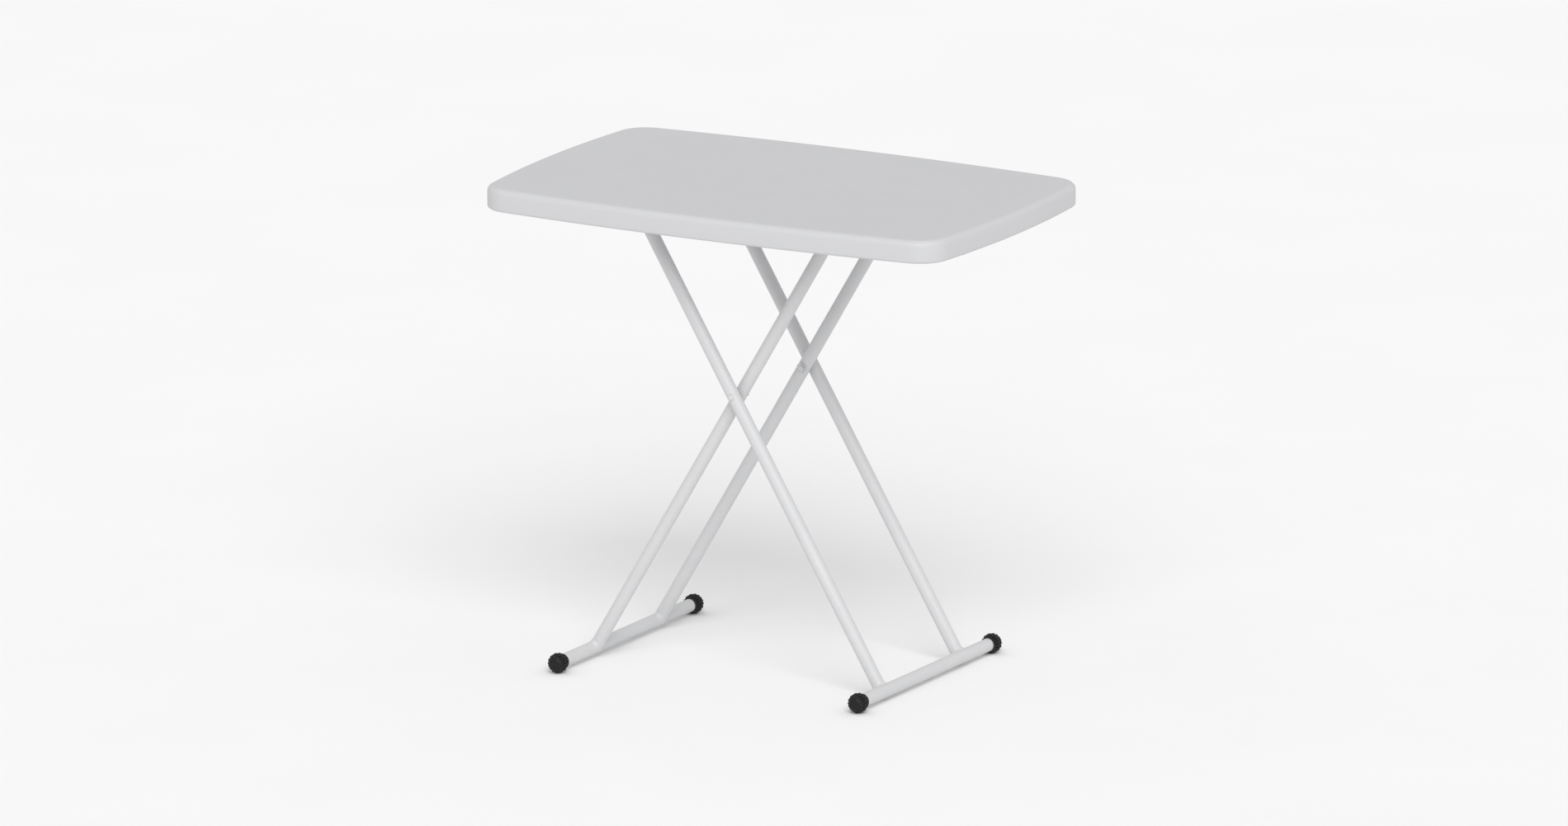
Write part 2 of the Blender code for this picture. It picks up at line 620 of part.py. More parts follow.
def end_cap(name, side, foot_x, sign, parent):
    """Ribbed cap pushed over one end of a foot bar.  Its own +Z points out of the tube."""
    bore = TUBE_RADIUS + GAP
    length = CAP_LENGTH
    stations = [(bore, bore, 0.0), (CAP_COLLAR_RADIUS, CAP_COLLAR_RADIUS, 0.0),
                (CAP_COLLAR_RADIUS, CAP_COLLAR_RADIUS, 0.0030), (CAP_RADIUS, CAP_ROOT_RADIUS, 0.0045),
                (CAP_RADIUS, CAP_ROOT_RADIUS, 0.0165), (CAP_END_RADIUS + 0.0016, CAP_END_RADIUS, length - 0.0020),
                (CAP_END_RADIUS * 0.9, CAP_END_RADIUS * 0.9, length), (bore, bore, length - CAP_END_WALL)]
    bm = bmesh.new()
    rings = [ribbed_ring(bm, *station) for station in stations]
    outside, bottom = rings[:-1], rings[-1]
    pairs = list(zip(outside, outside[1:])) + [(bottom, outside[0])]
    for lower, upper in pairs:
        for index, vert in enumerate(lower):
            after = (index + 1) % len(lower)
            bm.faces.new((vert, lower[after], upper[after], upper[index]))
    bm.faces.new(outside[-1])
    bm.faces.new(bottom)
    bmesh.ops.recalc_face_normals(bm, faces=bm.faces)
    cap = object_from(bm, name + "_cap_" + side)
    cap.location = (foot_x, sign * (FOOT_BAR_HALF + GAP + CAP_END_WALL - length), FOOT_Z)
    cap.rotation_euler = (math.pi / 2, 0.0, math.pi if sign > 0 else 0.0)
    place(cap, PARTS, BLACK_PLASTIC, parent)


def pivot_hardware(side, sign, outer_axis, inner_axis):
    """Rivet, nylon spacer and washer at one crossing of the legs."""
    outer_face = OUTER_LEG_Y + TUBE_RADIUS + GAP
    inner_face = INNER_LEG_Y - TUBE_RADIUS - GAP - WASHER_THICKNESS - GAP
    head, tail = RIVET_HEAD_HEIGHT, outer_face - inner_face
    hollow = RIVET_HEAD_RADIUS * 0.8
    profile = [(0.0, head), (hollow, head * 0.75), (RIVET_HEAD_RADIUS, 0.0), (RIVET_RADIUS, 0.0),
               (RIVET_RADIUS, -tail), (RIVET_HEAD_RADIUS, -tail), (hollow, -tail - head * 0.75),
               (0.0, -tail - head)]
    turn = (-sign * math.pi / 2, 0.0, 0.0)
    turned("pivot_rivet_" + side, profile, (PIVOT_X, sign * outer_face, PIVOT_Z), turn, FRAME_PAINT, outer_axis)
    bore = RIVET_RADIUS + GAP
    for name, radius, face, thickness, material, parent in (
            ("pivot_spacer_", SPACER_RADIUS, INNER_LEG_Y + TUBE_RADIUS + GAP,
             OUTER_LEG_Y - INNER_LEG_Y - 2 * TUBE_RADIUS - 2 * GAP, NYLON, outer_axis),
            ("pivot_washer_", WASHER_RADIUS, inner_face + GAP, WASHER_THICKNESS, ZINC, inner_axis)):
        ring = [(bore, thickness), (radius, thickness), (radius, 0.0), (bore, 0.0)]
        turned(name + side, ring, (PIVOT_X, sign * face, PIVOT_Z), turn, material, parent, closed=True)


# ---------------------------------------------------------------- assembly
def screw_rows():
    """Name, place and seat height of every screw, grouped by the piece that it holds."""
    rack_seat = CEILING - GAP - RACK_THICKNESS
    strap_seat = CROSSBAR_Z - GAP - STRAP_THICKNESS
    bracket_seat = CEILING - GAP - BRACKET_THICKNESS
    rack_span = RACK_END - RACK_START
    rows = {}
    for side, sign in (("front", -1), ("rear", 1)):
        rack_y = sign * (RACK_Y - RACK_FLANGE * FLANGE_SCREW_PART)
        rack_places = [(RACK_START + rack_span * part, rack_y) for part in RACK_SCREW_PARTS]
        saddle_places = [(OUTER_BAR_X + step, sign * SADDLE_Y) for step in (-SADDLE_SCREW_X, SADDLE_SCREW_X)]
        bracket_places = [(BAIL_PIVOT_X, sign * (BRACKET_Y + BRACKET_FLANGE * FLANGE_SCREW_PART))]
        for kind, places, seat in (("rack", rack_places, rack_seat), ("hinge", saddle_places, strap_seat),
                                   ("bracket", bracket_places, bracket_seat)):
            rows[kind, side] = [("%s_screw_%s_%d" % (kind, side, number), x, y, seat)
                                for number, (x, y) in enumerate(places, start=1)]
    return rows


def build():
    """Make every piece of the table."""
    rows = screw_rows()
    holes = {key: [screw_cutter(*row) for row in group] for key, group in rows.items()}
    for group in rows.values():
        for row in group:
            screw(*row)
    tabletop_shell([hole for group in holes.values() for hole in group])
    blow_hole_plug()

    outer_axis = joint_empty("outer_frame_axis", (OUTER_BAR_X, 0.0, CROSSBAR_Z))
    inner_axis = joint_empty("cross_pivot_axis", (PIVOT_X, 0.0, PIVOT_Z), outer_axis)
    outer_plug_end = OUTER_LEG_Y + TUBE_RADIUS + CROSSBAR_OVERHANG
    frame("outer", OUTER_BAR_X, OUTER_FOOT_STEP, OUTER_LEG_Y, outer_plug_end, outer_axis)
    frame("inner", INNER_BAR_X, INNER_FOOT_STEP, INNER_LEG_Y, INNER_LEG_Y + TUBE_RADIUS, inner_axis)
    release_bail()
    for side, sign in (("front", -1), ("rear", 1)):
        saddle_blocks(side, sign * SADDLE_Y, holes["hinge", side])
        saddle_strap(side, sign * SADDLE_Y, holes["hinge", side])
        rack_plate(side, sign, holes["rack", side])
        bail_bracket(side, sign, holes["bracket", side])
        bail_spring(side, sign)
        pivot_hardware(side, sign, outer_axis, inner_axis)


build()
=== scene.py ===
"""Looks of a folding side table: a moulded top on two crossed frames of painted round tube.

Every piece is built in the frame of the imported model, in metres, with its place in its mesh.
"""

from __future__ import annotations

import logging
import math
from dataclasses import dataclass
from enum import Enum
from typing import Sequence, Union

import bmesh
import bpy
from mathutils import Matrix, Vector

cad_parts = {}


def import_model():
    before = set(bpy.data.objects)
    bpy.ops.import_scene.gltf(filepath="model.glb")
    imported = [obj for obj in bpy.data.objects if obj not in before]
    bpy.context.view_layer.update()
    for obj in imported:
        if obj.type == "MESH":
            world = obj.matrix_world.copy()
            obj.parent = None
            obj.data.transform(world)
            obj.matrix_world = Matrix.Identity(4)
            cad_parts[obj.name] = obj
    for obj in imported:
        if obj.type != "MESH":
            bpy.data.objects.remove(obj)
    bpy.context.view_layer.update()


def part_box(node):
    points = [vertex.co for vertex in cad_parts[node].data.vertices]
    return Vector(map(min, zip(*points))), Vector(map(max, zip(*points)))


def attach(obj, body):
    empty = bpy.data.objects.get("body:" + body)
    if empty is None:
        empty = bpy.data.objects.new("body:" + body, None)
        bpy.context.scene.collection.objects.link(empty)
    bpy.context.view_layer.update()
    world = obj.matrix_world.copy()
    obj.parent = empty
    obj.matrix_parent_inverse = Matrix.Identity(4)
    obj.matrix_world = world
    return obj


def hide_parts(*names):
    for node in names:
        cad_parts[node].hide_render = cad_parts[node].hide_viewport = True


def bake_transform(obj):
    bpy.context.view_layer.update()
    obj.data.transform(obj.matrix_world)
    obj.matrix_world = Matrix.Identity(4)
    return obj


LOG = logging.getLogger("side_table")
Socket = bpy.types.NodeSocket
Feed = Union[Socket, float, int, tuple]
Colour = tuple[float, float, float]
Profile = Sequence[tuple[float, float]]
TAU = 2 * math.pi
UP = Vector((0.0, 0.0, 1.0))
ALONG = Vector((1.0, 0.0, 0.0))
ACROSS = Vector((0.0, 1.0, 0.0))
SIDES = (("front", -1.0), ("rear", 1.0))
QUARTER = math.pi / 2
MERGE = 0.00001  # points closer than this, in metres, are merged
FINE_MERGE = 0.000002  # the same for small pieces


class Body(Enum):
    """The rigid bodies that pieces ride on."""

    TOP = "tabletop"
    OUTER = "outer_frame"
    INNER = "inner_frame"
    BAIL = "release_bail"


class Slot(Enum):
    """The record's material slots."""

    MOULDED_WHITE = "moulded_white"
    FRAME_PAINT = "frame_paint"
    BLACK_PLASTIC = "black_plastic"
    ZINC = "zinc"
    NYLON = "nylon"
    SPRING_STEEL = "spring_steel"


@dataclass(frozen=True)
class Span:
    """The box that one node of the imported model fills."""

    low: Vector
    high: Vector

    @classmethod
    def of(cls, node: str) -> "Span":
        """The span of a named node."""
        low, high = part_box(node)
        return cls(Vector(low), Vector(high))

    @property
    def centre(self) -> Vector:
        """Middle of the box."""
        return (self.low + self.high) / 2

    @property
    def size(self) -> Vector:
        """Length of each side of the box."""
        return self.high - self.low

    @property
    def inner(self) -> float:
        """Distance from the plane Y = 0 to the nearer side."""
        return min(abs(self.low.y), abs(self.high.y))

    @property
    def outer(self) -> float:
        """Distance from the plane Y = 0 to the farther side."""
        return max(abs(self.low.y), abs(self.high.y))


# ---- node wiring
class Wiring:
    """A short hand for adding nodes to a tree and joining them up."""

    def __init__(self, tree: bpy.types.NodeTree) -> None:
        """Args:
            tree: the shader or geometry tree to wire.
        """
        self.tree = tree

    def node(self, kind: str, **settings: object) -> bpy.types.Node:
        """Add a node.

        Args:
            kind: the node's class name.
            settings: properties to set on it.
        Returns:
            The new node.
        """
        made = self.tree.nodes.new(kind)
        for key, value in settings.items():
            setattr(made, key, value)
        return made

    def feed(self, target: Socket, value: Feed) -> None:
        """Give an input socket a link or a plain value.

        Args:
            target: the input socket.
            value: another node's output socket, or a number or colour.
        """
        if isinstance(value, bpy.types.NodeSocket):
            self.tree.links.new(value, target)
        else:
            target.default_value = value

    def use(self, kind: str, feeds: dict[Union[str, int], Feed], out: Union[str, int] = 0,
            **settings: object) -> Socket:
        """Add a node with its inputs fed.

        Args:
            kind: the node's class name.
            feeds: input name or index to value.
            out: the output socket to return.
            settings: properties to set on the node.
        Returns:
            The chosen output socket.
        """
        made = self.node(kind, **settings)
        for key, value in feeds.items():
            self.feed(made.inputs[key], value)
        return made.outputs[out]

    def math(self, operation: str, first: Feed, second: Feed = 0.0) -> Socket:
        """A math node, in a shader or a geometry tree.

        Args:
            operation: Blender's name for the operation.
            first: first operand.
            second: second operand, unused by one-operand operations.
        Returns:
            The result.
        """
        return self.use("ShaderNodeMath", {0: first, 1: second}, operation=operation)

    def ramp(self, value: Feed, low: float, high: float) -> Socket:
        """Map a value's range smoothly onto 0 to 1.

        Args:
            value: the value to map.
            low: where the result is 0.
            high: where the result is 1.
        Returns:
            The mapped value.
        """
        return self.use("ShaderNodeMapRange", {0: value, 1: low, 2: high},
                        interpolation_type="SMOOTHSTEP")

    def noise(self, place: Feed, scale: float, detail: float = 2.0, roughness: float = 0.5) -> Socket:
        """Noise at a scale in cycles per metre.

        Args:
            place: coordinates.
            scale: cycles per metre.
            detail: octaves.
            roughness: weight of the finer octaves.
        Returns:
            The noise value, 0 to 1.
        """
        feeds = {"Vector": place, "Scale": scale, "Detail": detail, "Roughness": roughness}
        return self.use("ShaderNodeTexNoise", feeds, out="Fac")

    def blend(self, factor: Feed, first: Feed, second: Feed) -> Socket:
        """Mix two colours.

        Args:
            factor: 0 for the first, 1 for the second.
            first: first colour.
            second: second colour.
        Returns:
            The mixed colour.
        """
        made = self.node("ShaderNodeMix", data_type="RGBA")
        for index, value in ((0, factor), (6, first), (7, second)):
            self.feed(made.inputs[index], value)
        return made.outputs[2]


def sockets(tree: bpy.types.NodeTree, direction: str, **wanted: Union[float, int, str]) -> None:
    """Declare a group's inputs or outputs.

    Args:
        tree: the node group.
        direction: INPUT or OUTPUT.
        wanted: name to a default number, or to a kind of socket such as Vector.
    """
    for name, value in wanted.items():
        kind = value if isinstance(value, str) else {int: "Int", float: "Float"}[type(value)]
        made = tree.interface.new_socket(name, in_out=direction, socket_type="NodeSocket" + kind)
        if not isinstance(value, str):
            made.default_value = value


def new_material(name: str) -> tuple[bpy.types.Material, Wiring, bpy.types.bpy_prop_collection, Socket]:
    """A new material with its wiring, its shader's inputs and its object coordinates."""
    made = bpy.data.materials.new(name)
    made.use_nodes = True
    wire = Wiring(made.node_tree)
    place = wire.node("ShaderNodeTexCoord").outputs["Object"]
    return made, wire, made.node_tree.nodes["Principled BSDF"].inputs, place


# ---- shader groups
class SharedEffects:
    """Shader groups that more than one finish uses, each built once."""

    def __init__(self) -> None:
        """Build the groups."""
        self.grain = self._grain()
        self.handling = self._handling()

    @staticmethod
    def _grain() -> bpy.types.NodeTree:
        """Fine moulded or sprayed texture.

        Returns:
            A group from coordinates and a scale to Height, and Tone, which varies broadly.
        """
        tree = bpy.data.node_groups.new("surface_grain", "ShaderNodeTree")
        sockets(tree, "INPUT", Place="Vector", Scale=900.0, Pebble=0.5)
        sockets(tree, "OUTPUT", Height="Float", Tone="Float")
        wire = Wiring(tree)
        given = wire.node("NodeGroupInput").outputs
        result = wire.node("NodeGroupOutput").inputs
        cells = wire.use("ShaderNodeTexVoronoi", {"Vector": given["Place"], "Scale": given["Scale"]},
                         out="Distance", feature="SMOOTH_F1")
        feeds = {"Vector": given["Place"], "Scale": given["Scale"], "Detail": 3.0}
        fine = wire.use("ShaderNodeTexNoise", feeds, out="Fac")
        pebbles = wire.math("MULTIPLY", cells, given["Pebble"])
        wire.feed(result["Height"], wire.math("ADD", fine, pebbles))
        broad = wire.noise(given["Place"], 9.0, 4.0, 0.55)
        cloudy = wire.noise(given["Place"], 55.0, 3.0, 0.6)
        mixed = wire.math("ADD", broad, wire.math("MULTIPLY", cloudy, 0.5))
        wire.feed(result["Tone"], wire.ramp(mixed, 0.5, 1.0))
        return tree

    @staticmethod
    def _handling() -> bpy.types.NodeTree:
        """Light marks from use: thin scuffs and worn raised edges.

        Returns:
            A group from coordinates and amounts to Scuffs and Edges, both masks.
        """
        tree = bpy.data.node_groups.new("handling_marks", "ShaderNodeTree")
        sockets(tree, "INPUT", Place="Vector", Scuffing=0.5)
        sockets(tree, "OUTPUT", Scuffs="Float", Edges="Float")
        wire = Wiring(tree)
        given = wire.node("NodeGroupInput").outputs
        result = wire.node("NodeGroupOutput").inputs
        place = given["Place"]
        streaks = None
        for turn, stretch in ((0.5, (14.0, 420.0, 120.0)), (2.1, (420.0, 18.0, 120.0))):
            feeds = {"Vector": place, "Rotation": (0.0, 0.0, turn), "Scale": stretch}
            laid = wire.use("ShaderNodeMapping", feeds)
            lines = wire.ramp(wire.noise(laid, 1.0, 2.0), 0.66, 0.74)
            streaks = lines if streaks is None else wire.math("MAXIMUM", streaks, lines)
        patches = wire.ramp(wire.noise(place, 22.0, 2.0), 0.52, 0.68)
        scuffs = wire.math("MULTIPLY", wire.math("MULTIPLY", streaks, patches), given["Scuffing"])
        wire.feed(result["Scuffs"], scuffs)
        raised = wire.ramp(wire.node("ShaderNodeNewGeometry").outputs["Pointiness"], 0.53, 0.62)
        chips = wire.ramp(wire.noise(place, 190.0, 3.0), 0.45, 0.6)
        wire.feed(result["Edges"], wire.math("MULTIPLY", raised, chips))
        return tree


# ---- finishes
@dataclass(frozen=True)
class Finish:
    """A procedural finish: two tones, a fine grain, and light marks from use.

    Attributes:
        name: material name.
        colour: main colour, linear.
        shade: the colour its cloudy variation leans to.
        rough: roughness where untouched.
        rough_spread: how much the roughness varies.
        grain: grain size, in cells per metre.
        relief: height of the grain, in metres.
        pebble: 0 for a sprayed skin, 1 for a pebbled one.
        scuffing: strength of the scuffs.
        worn: colour of scuffs and worn edges.
        metallic: 1 for bare metal.
        edge_wear: how far worn edges show.
        specular: dielectric reflection level.
    """

    name: str
    colour: Colour
    shade: Colour
    rough: float
    rough_spread: float
    grain: float
    relief: float
    pebble: float = 0.5
    scuffing: float = 0.3
    worn: Colour = (0.7, 0.7, 0.7)
    metallic: float = 0.0
    edge_wear: float = 0.0
    specular: float = 0.5

    def material(self, effects: SharedEffects) -> bpy.types.Material:
        """Build the material.

        Args:
            effects: the shared shader groups.
        Returns:
            A new material.
        """
        made, wire, inputs, place = new_material(self.name)
        made.diffuse_color = (*self.colour, 1.0)
        grain = wire.node("ShaderNodeGroup", node_tree=effects.grain)
        marks = wire.node("ShaderNodeGroup", node_tree=effects.handling)
        for node, name, value in ((grain, "Place", place), (grain, "Scale", self.grain),
                                  (grain, "Pebble", self.pebble), (marks, "Place", place),
                                  (marks, "Scuffing", self.scuffing)):
            wire.feed(node.inputs[name], value)
        tone, scuffs = grain.outputs["Tone"], marks.outputs["Scuffs"]
        toned = wire.blend(tone, (*self.colour, 1.0), (*self.shade, 1.0))
        edges = wire.math("MULTIPLY", marks.outputs["Edges"], self.edge_wear)
        colour = wire.blend(wire.math("MAXIMUM", scuffs, edges), toned, (*self.worn, 1.0))
        spread = wire.math("MULTIPLY", wire.math("SUBTRACT", tone, 0.5), self.rough_spread)
        rubbed = wire.math("MULTIPLY", scuffs, 0.12)
        rough = wire.math("ADD", wire.math("ADD", spread, self.rough), rubbed)
        height = wire.math("SUBTRACT", grain.outputs["Height"], wire.math("MULTIPLY", scuffs, 0.5))
        bump = wire.use("ShaderNodeBump", {"Strength": 1.0, "Distance": self.relief, "Height": height},
                        out="Normal")
        for name, value in (("Base Color", colour), ("Roughness", rough), ("Metallic", self.metallic),
                            ("Specular IOR Level", self.specular), ("Normal", bump)):
            wire.feed(inputs[name], value)
        return made


FINISHES: dict[Slot, Finish] = {
    Slot.MOULDED_WHITE: Finish(
        "moulded_white_plastic", (0.588, 0.589, 0.602), (0.583, 0.584, 0.598), 0.52, 0.08, 1400.0, 0.00006,
        pebble=0.9, scuffing=0.10, worn=(0.66, 0.66, 0.67)),
    Slot.FRAME_PAINT: Finish(
        "frame_powder_coat", (0.632, 0.633, 0.640), (0.615, 0.617, 0.626), 0.38, 0.08, 620.0, 0.00005,
        pebble=0.2, scuffing=0.22, worn=(0.50, 0.50, 0.51), edge_wear=0.25),
    Slot.BLACK_PLASTIC: Finish(
        "black_moulded_plastic", (0.006, 0.006, 0.0062), (0.009, 0.009, 0.0092), 0.46, 0.12, 1900.0, 0.00004,
        pebble=0.7, scuffing=0.4, worn=(0.03, 0.03, 0.03), edge_wear=0.6, specular=0.28),
    Slot.ZINC: Finish(
        "bright_zinc_plate", (0.62, 0.64, 0.67), (0.52, 0.53, 0.55), 0.30, 0.18, 800.0, 0.00003,
        pebble=0.3, scuffing=0.4, worn=(0.40, 0.40, 0.41), metallic=1.0, edge_wear=0.4),
    Slot.NYLON: Finish(
        "natural_nylon", (0.55, 0.55, 0.535), (0.50, 0.50, 0.485), 0.48, 0.10, 1300.0, 0.00004,
        pebble=0.5, scuffing=0.2, worn=(0.62, 0.62, 0.60)),
    Slot.SPRING_STEEL: Finish(
        "drawn_spring_wire", (0.46, 0.46, 0.47), (0.34, 0.34, 0.35), 0.28, 0.16, 1600.0, 0.00002,
        pebble=0.1, scuffing=0.5, worn=(0.28, 0.28, 0.28), metallic=1.0),
}


# ---- workshop
@dataclass(frozen=True)
class Winding:
    """Two bodies that a spring winds between, and the ends of its coil."""

    still: Body
    moving: Body
    start: Vector
    end: Vector


class Workshop:
    """Turns meshes into finished pieces: dressed, riding on their body, standing for their nodes."""

    def __init__(self) -> None:
        """Build the finishes and the geometry trees."""
        effects = SharedEffects()
        self.materials = {slot: finish.material(effects) for slot, finish in FINISHES.items()}
        self.sweep = SweepTree()
        self.scatter = ScatterTree()
        self.ribbed = RibbedCapTree()
        self.made = 0

    def finish(self, piece: bpy.types.Object, slot: Slot, body: Union[Body, Winding], *nodes: str,
               angle: float = 35.0) -> None:
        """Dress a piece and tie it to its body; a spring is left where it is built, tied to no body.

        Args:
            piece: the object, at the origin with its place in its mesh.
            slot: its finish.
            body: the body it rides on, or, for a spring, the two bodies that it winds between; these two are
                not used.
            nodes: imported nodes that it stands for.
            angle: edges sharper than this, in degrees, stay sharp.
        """
        piece.data.materials.clear()
        piece.data.materials.append(self.materials[slot])
        for face in piece.data.polygons:
            face.material_index = 0
        piece.data.shade_smooth()
        piece.data.set_sharp_from_angle(angle=math.radians(angle))
        if isinstance(body, Body):
            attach(piece, body.value)
        else:
            tuple(body.end)
            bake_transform(piece)
        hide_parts(*nodes)
        self.made += 1
        LOG.info("%-24s %6d faces", piece.name, len(piece.data.polygons))


def linked(name: str, data: bpy.types.ID) -> bpy.types.Object:
    """Put a mesh or curve in the scene as an object at the origin."""
    made = bpy.data.objects.new(name, data)
    bpy.context.scene.collection.objects.link(made)
    return made


def mend(shape: bmesh.types.BMesh, distance: float) -> None:
    """Merge points closer than a distance and point the faces outwards."""
    bmesh.ops.remove_doubles(shape, verts=shape.verts, dist=distance)
    bmesh.ops.recalc_face_normals(shape, faces=shape.faces)


def object_of(shape: bmesh.types.BMesh, name: str, heal: bool = True) -> bpy.types.Object:
    """Turn a bmesh into an object.

    Args:
        shape: the mesh; it is freed.
        name: the object's name.
        heal: merge doubled points and point the faces outwards.
    Returns:
        The new object.
    """
    if heal:
        mend(shape, MERGE)
    mesh = bpy.data.meshes.new(name)
    shape.to_mesh(mesh)
    shape.free()
    return linked(name, mesh)


def healed(piece: bpy.types.Object) -> bpy.types.Object:
    """Merge a piece's doubled points, point its faces outwards and return it."""
    shape = bmesh.new()
    shape.from_mesh(piece.data)
    mend(shape, FINE_MERGE)
    shape.to_mesh(piece.data)
    shape.free()
    return piece


def merged(name: str, pieces: Sequence[bpy.types.Object]) -> bpy.types.Object:
    """Put several closed meshes into one object; the pieces are removed."""
    shape = bmesh.new()
    for piece in pieces:
        shape.from_mesh(piece.data)
        bpy.data.objects.remove(piece)
    return object_of(shape, name, heal=False)


def applied(source: bpy.types.Object, name: str,
            tools: Sequence[bpy.types.Object] = ()) -> bpy.types.Object:
    """The evaluated form of an object as a plain mesh object; the source is removed.

    Args:
        source: an object with modifiers, or a curve.
        name: the new object's name.
        tools: objects that its modifiers use, removed afterwards.
    Returns:
        The plain mesh object.
    """
    bpy.context.view_layer.update()
    mesh = bpy.data.meshes.new_from_object(source.evaluated_get(bpy.context.evaluated_depsgraph_get()))
    for spent in (source, *tools):
        bpy.data.objects.remove(spent)
    mesh.name = name
    return linked(name, mesh)


def bridge(shape: bmesh.types.BMesh, rings: Sequence[Sequence[bmesh.types.BMVert]]) -> None:
    """Join closed rings of equal length with quads, in order."""
    for lower, upper in zip(rings, rings[1:]):
        for index, vert in enumerate(lower):
            after = (index + 1) % len(lower)
            shape.faces.new((vert, lower[after], upper[after], upper[index]))


def axis_matrix(place: Vector, direction: Vector) -> Matrix:
    """The matrix that takes the origin to place and +Z to direction."""
    return Matrix.Translation(place) @ direction.to_track_quat("Z", "Y").to_matrix().to_4x4()


def turned(name: str, profile: Profile, place: Vector, direction: Vector, steps: int = 48,
           hollow: bool = False) -> bpy.types.Object:
    """A turned piece.

    Args:
        name: the object's name.
        profile: radius and height pairs along the outside; a zero radius makes a closed pole.
        place: where height zero lies.
        direction: which way height points.
        steps: points round the axis.
        hollow: join the last pair back to the first, as for a ring.
    Returns:
        The piece.
    """
    shape = bmesh.new()
    matrix = axis_matrix(place, direction)
    rows = list(profile) + ([profile[0]] if hollow else [])
    rings = []
    for radius, height in rows:
        turns = (TAU * step / steps for step in range(steps))
        points = (Vector((radius * math.cos(turn), radius * math.sin(turn), height)) for turn in turns)
        rings.append([shape.verts.new(matrix @ point) for point in points])
    bridge(shape, rings)
    if not hollow:
        for ring, (radius, _) in ((rings[0], rows[0]), (rings[-1], rows[-1])):
            if radius > 0.0:
                shape.faces.new(ring)
    bmesh.ops.dissolve_degenerate(shape, dist=0.000001, edges=shape.edges)
    return object_of(shape, name)


def prism(name: str, outline: Profile, start: float, end: float,
          axis: Vector = ACROSS) -> bpy.types.Object:
    """An outline swept straight along Y, or along X.

    Args:
        name: the object's name.
        outline: (x, z) pairs when swept along Y, (y, z) pairs when swept along X.
        start: first coordinate along the sweep.
        end: last coordinate.
        axis: ACROSS for Y, ALONG for X.
    Returns:
        The piece.
    """
    shape = bmesh.new()
    rings = []
    for depth in (start, end):
        points = [Vector((a, depth, z)) if axis is ACROSS else Vector((depth, a, z)) for a, z in outline]
        rings.append([shape.verts.new(point) for point in points])
    bridge(shape, rings)
    for ring in rings:
        shape.faces.new(ring)
    return object_of(shape, name)


def carve(target: bpy.types.Object, tools: Sequence[bpy.types.Object],
          operation: str = "DIFFERENCE") -> None:
    """Cut tools out of a piece, or join them on, when the piece is next applied.

    Args:
        target: the piece.
        tools: closed solids, which the caller gives to applied or softened to remove.
        operation: DIFFERENCE or UNION.
    """
    for tool in tools:
        step = target.modifiers.new(tool.name, "BOOLEAN")
        step.operation, step.object, step.solver = operation, tool, "EXACT"


def softened(source: bpy.types.Object, name: str, width: float, segments: int = 3,
             tools: Sequence[bpy.types.Object] = ()) -> bpy.types.Object:
    """Apply a piece's modifiers with a small round on its edges.

    Args:
        source: the piece.
        name: the finished name.
        width: the round's width.
        segments: the round's segments.
        tools: cutters to remove afterwards.
    Returns:
        The finished plain piece.
    """
    step = source.modifiers.new("round", "BEVEL")
    step.width, step.segments, step.limit_method = width, segments, "ANGLE"
    step.angle_limit = math.radians(40.0)
    step.use_clamp_overlap = True
    step.miter_outer = "MITER_ARC"
    return applied(source, name, tools)


def arc(centre: tuple[float, float], radius: float, start: float, end: float,
        steps: int) -> list[tuple[float, float]]:
    """Points along an arc, both ends included."""
    turns = (start + (end - start) * step / steps for step in range(steps + 1))
    return [(centre[0] + radius * math.cos(turn), centre[1] + radius * math.sin(turn)) for turn in turns]


# ---- geometry trees
class GeometryTree:
    """A geometry tree with named inputs that ends in real meshes of one material."""

    def __init__(self, name: str, **inputs: Union[float, int, str]) -> None:
        """Args:
            name: the tree's name.
            inputs: name to default number or kind, for each input after the geometry.
        """
        self.tree = bpy.data.node_groups.new(name, "GeometryNodeTree")
        sockets(self.tree, "INPUT", Geometry="Geometry", **inputs, Material="Material")
        sockets(self.tree, "OUTPUT", Geometry="Geometry")
        self.wire = Wiring(self.tree)
        self.given = self.wire.node("NodeGroupInput").outputs

    def end(self, geometry: Socket) -> None:
        """Close the tree with Realize Instances and Set Material."""
        real = self.wire.use("GeometryNodeRealizeInstances", {0: geometry})
        dressed = self.wire.use("GeometryNodeSetMaterial",
                                {"Geometry": real, "Material": self.given["Material"]})
        self.wire.feed(self.wire.node("NodeGroupOutput").inputs[0], dressed)

    def grow(self, source: bpy.types.Object, name: str, *tools: bpy.types.Object,
             **values: object) -> bpy.types.Object:
        """Run the tree on an object and return the result as a plain mesh.

        Args:
            source: the object to grow on; it is removed.
            name: the result's name.
            tools: objects that the tree reads; they are removed.
            values: input name, with _ for a space, to value.
        Returns:
            The plain mesh object.
        """
        step = source.modifiers.new("grow", "NODES")
        step.node_group = self.tree
        wanted = {key.replace("_", " "): value for key, value in values.items()}
        for item in self.tree.interface.items_tree:
            if item.in_out == "INPUT" and item.name in wanted:
                step[item.identifier] = wanted[item.name]
        return applied(source, name, tools)


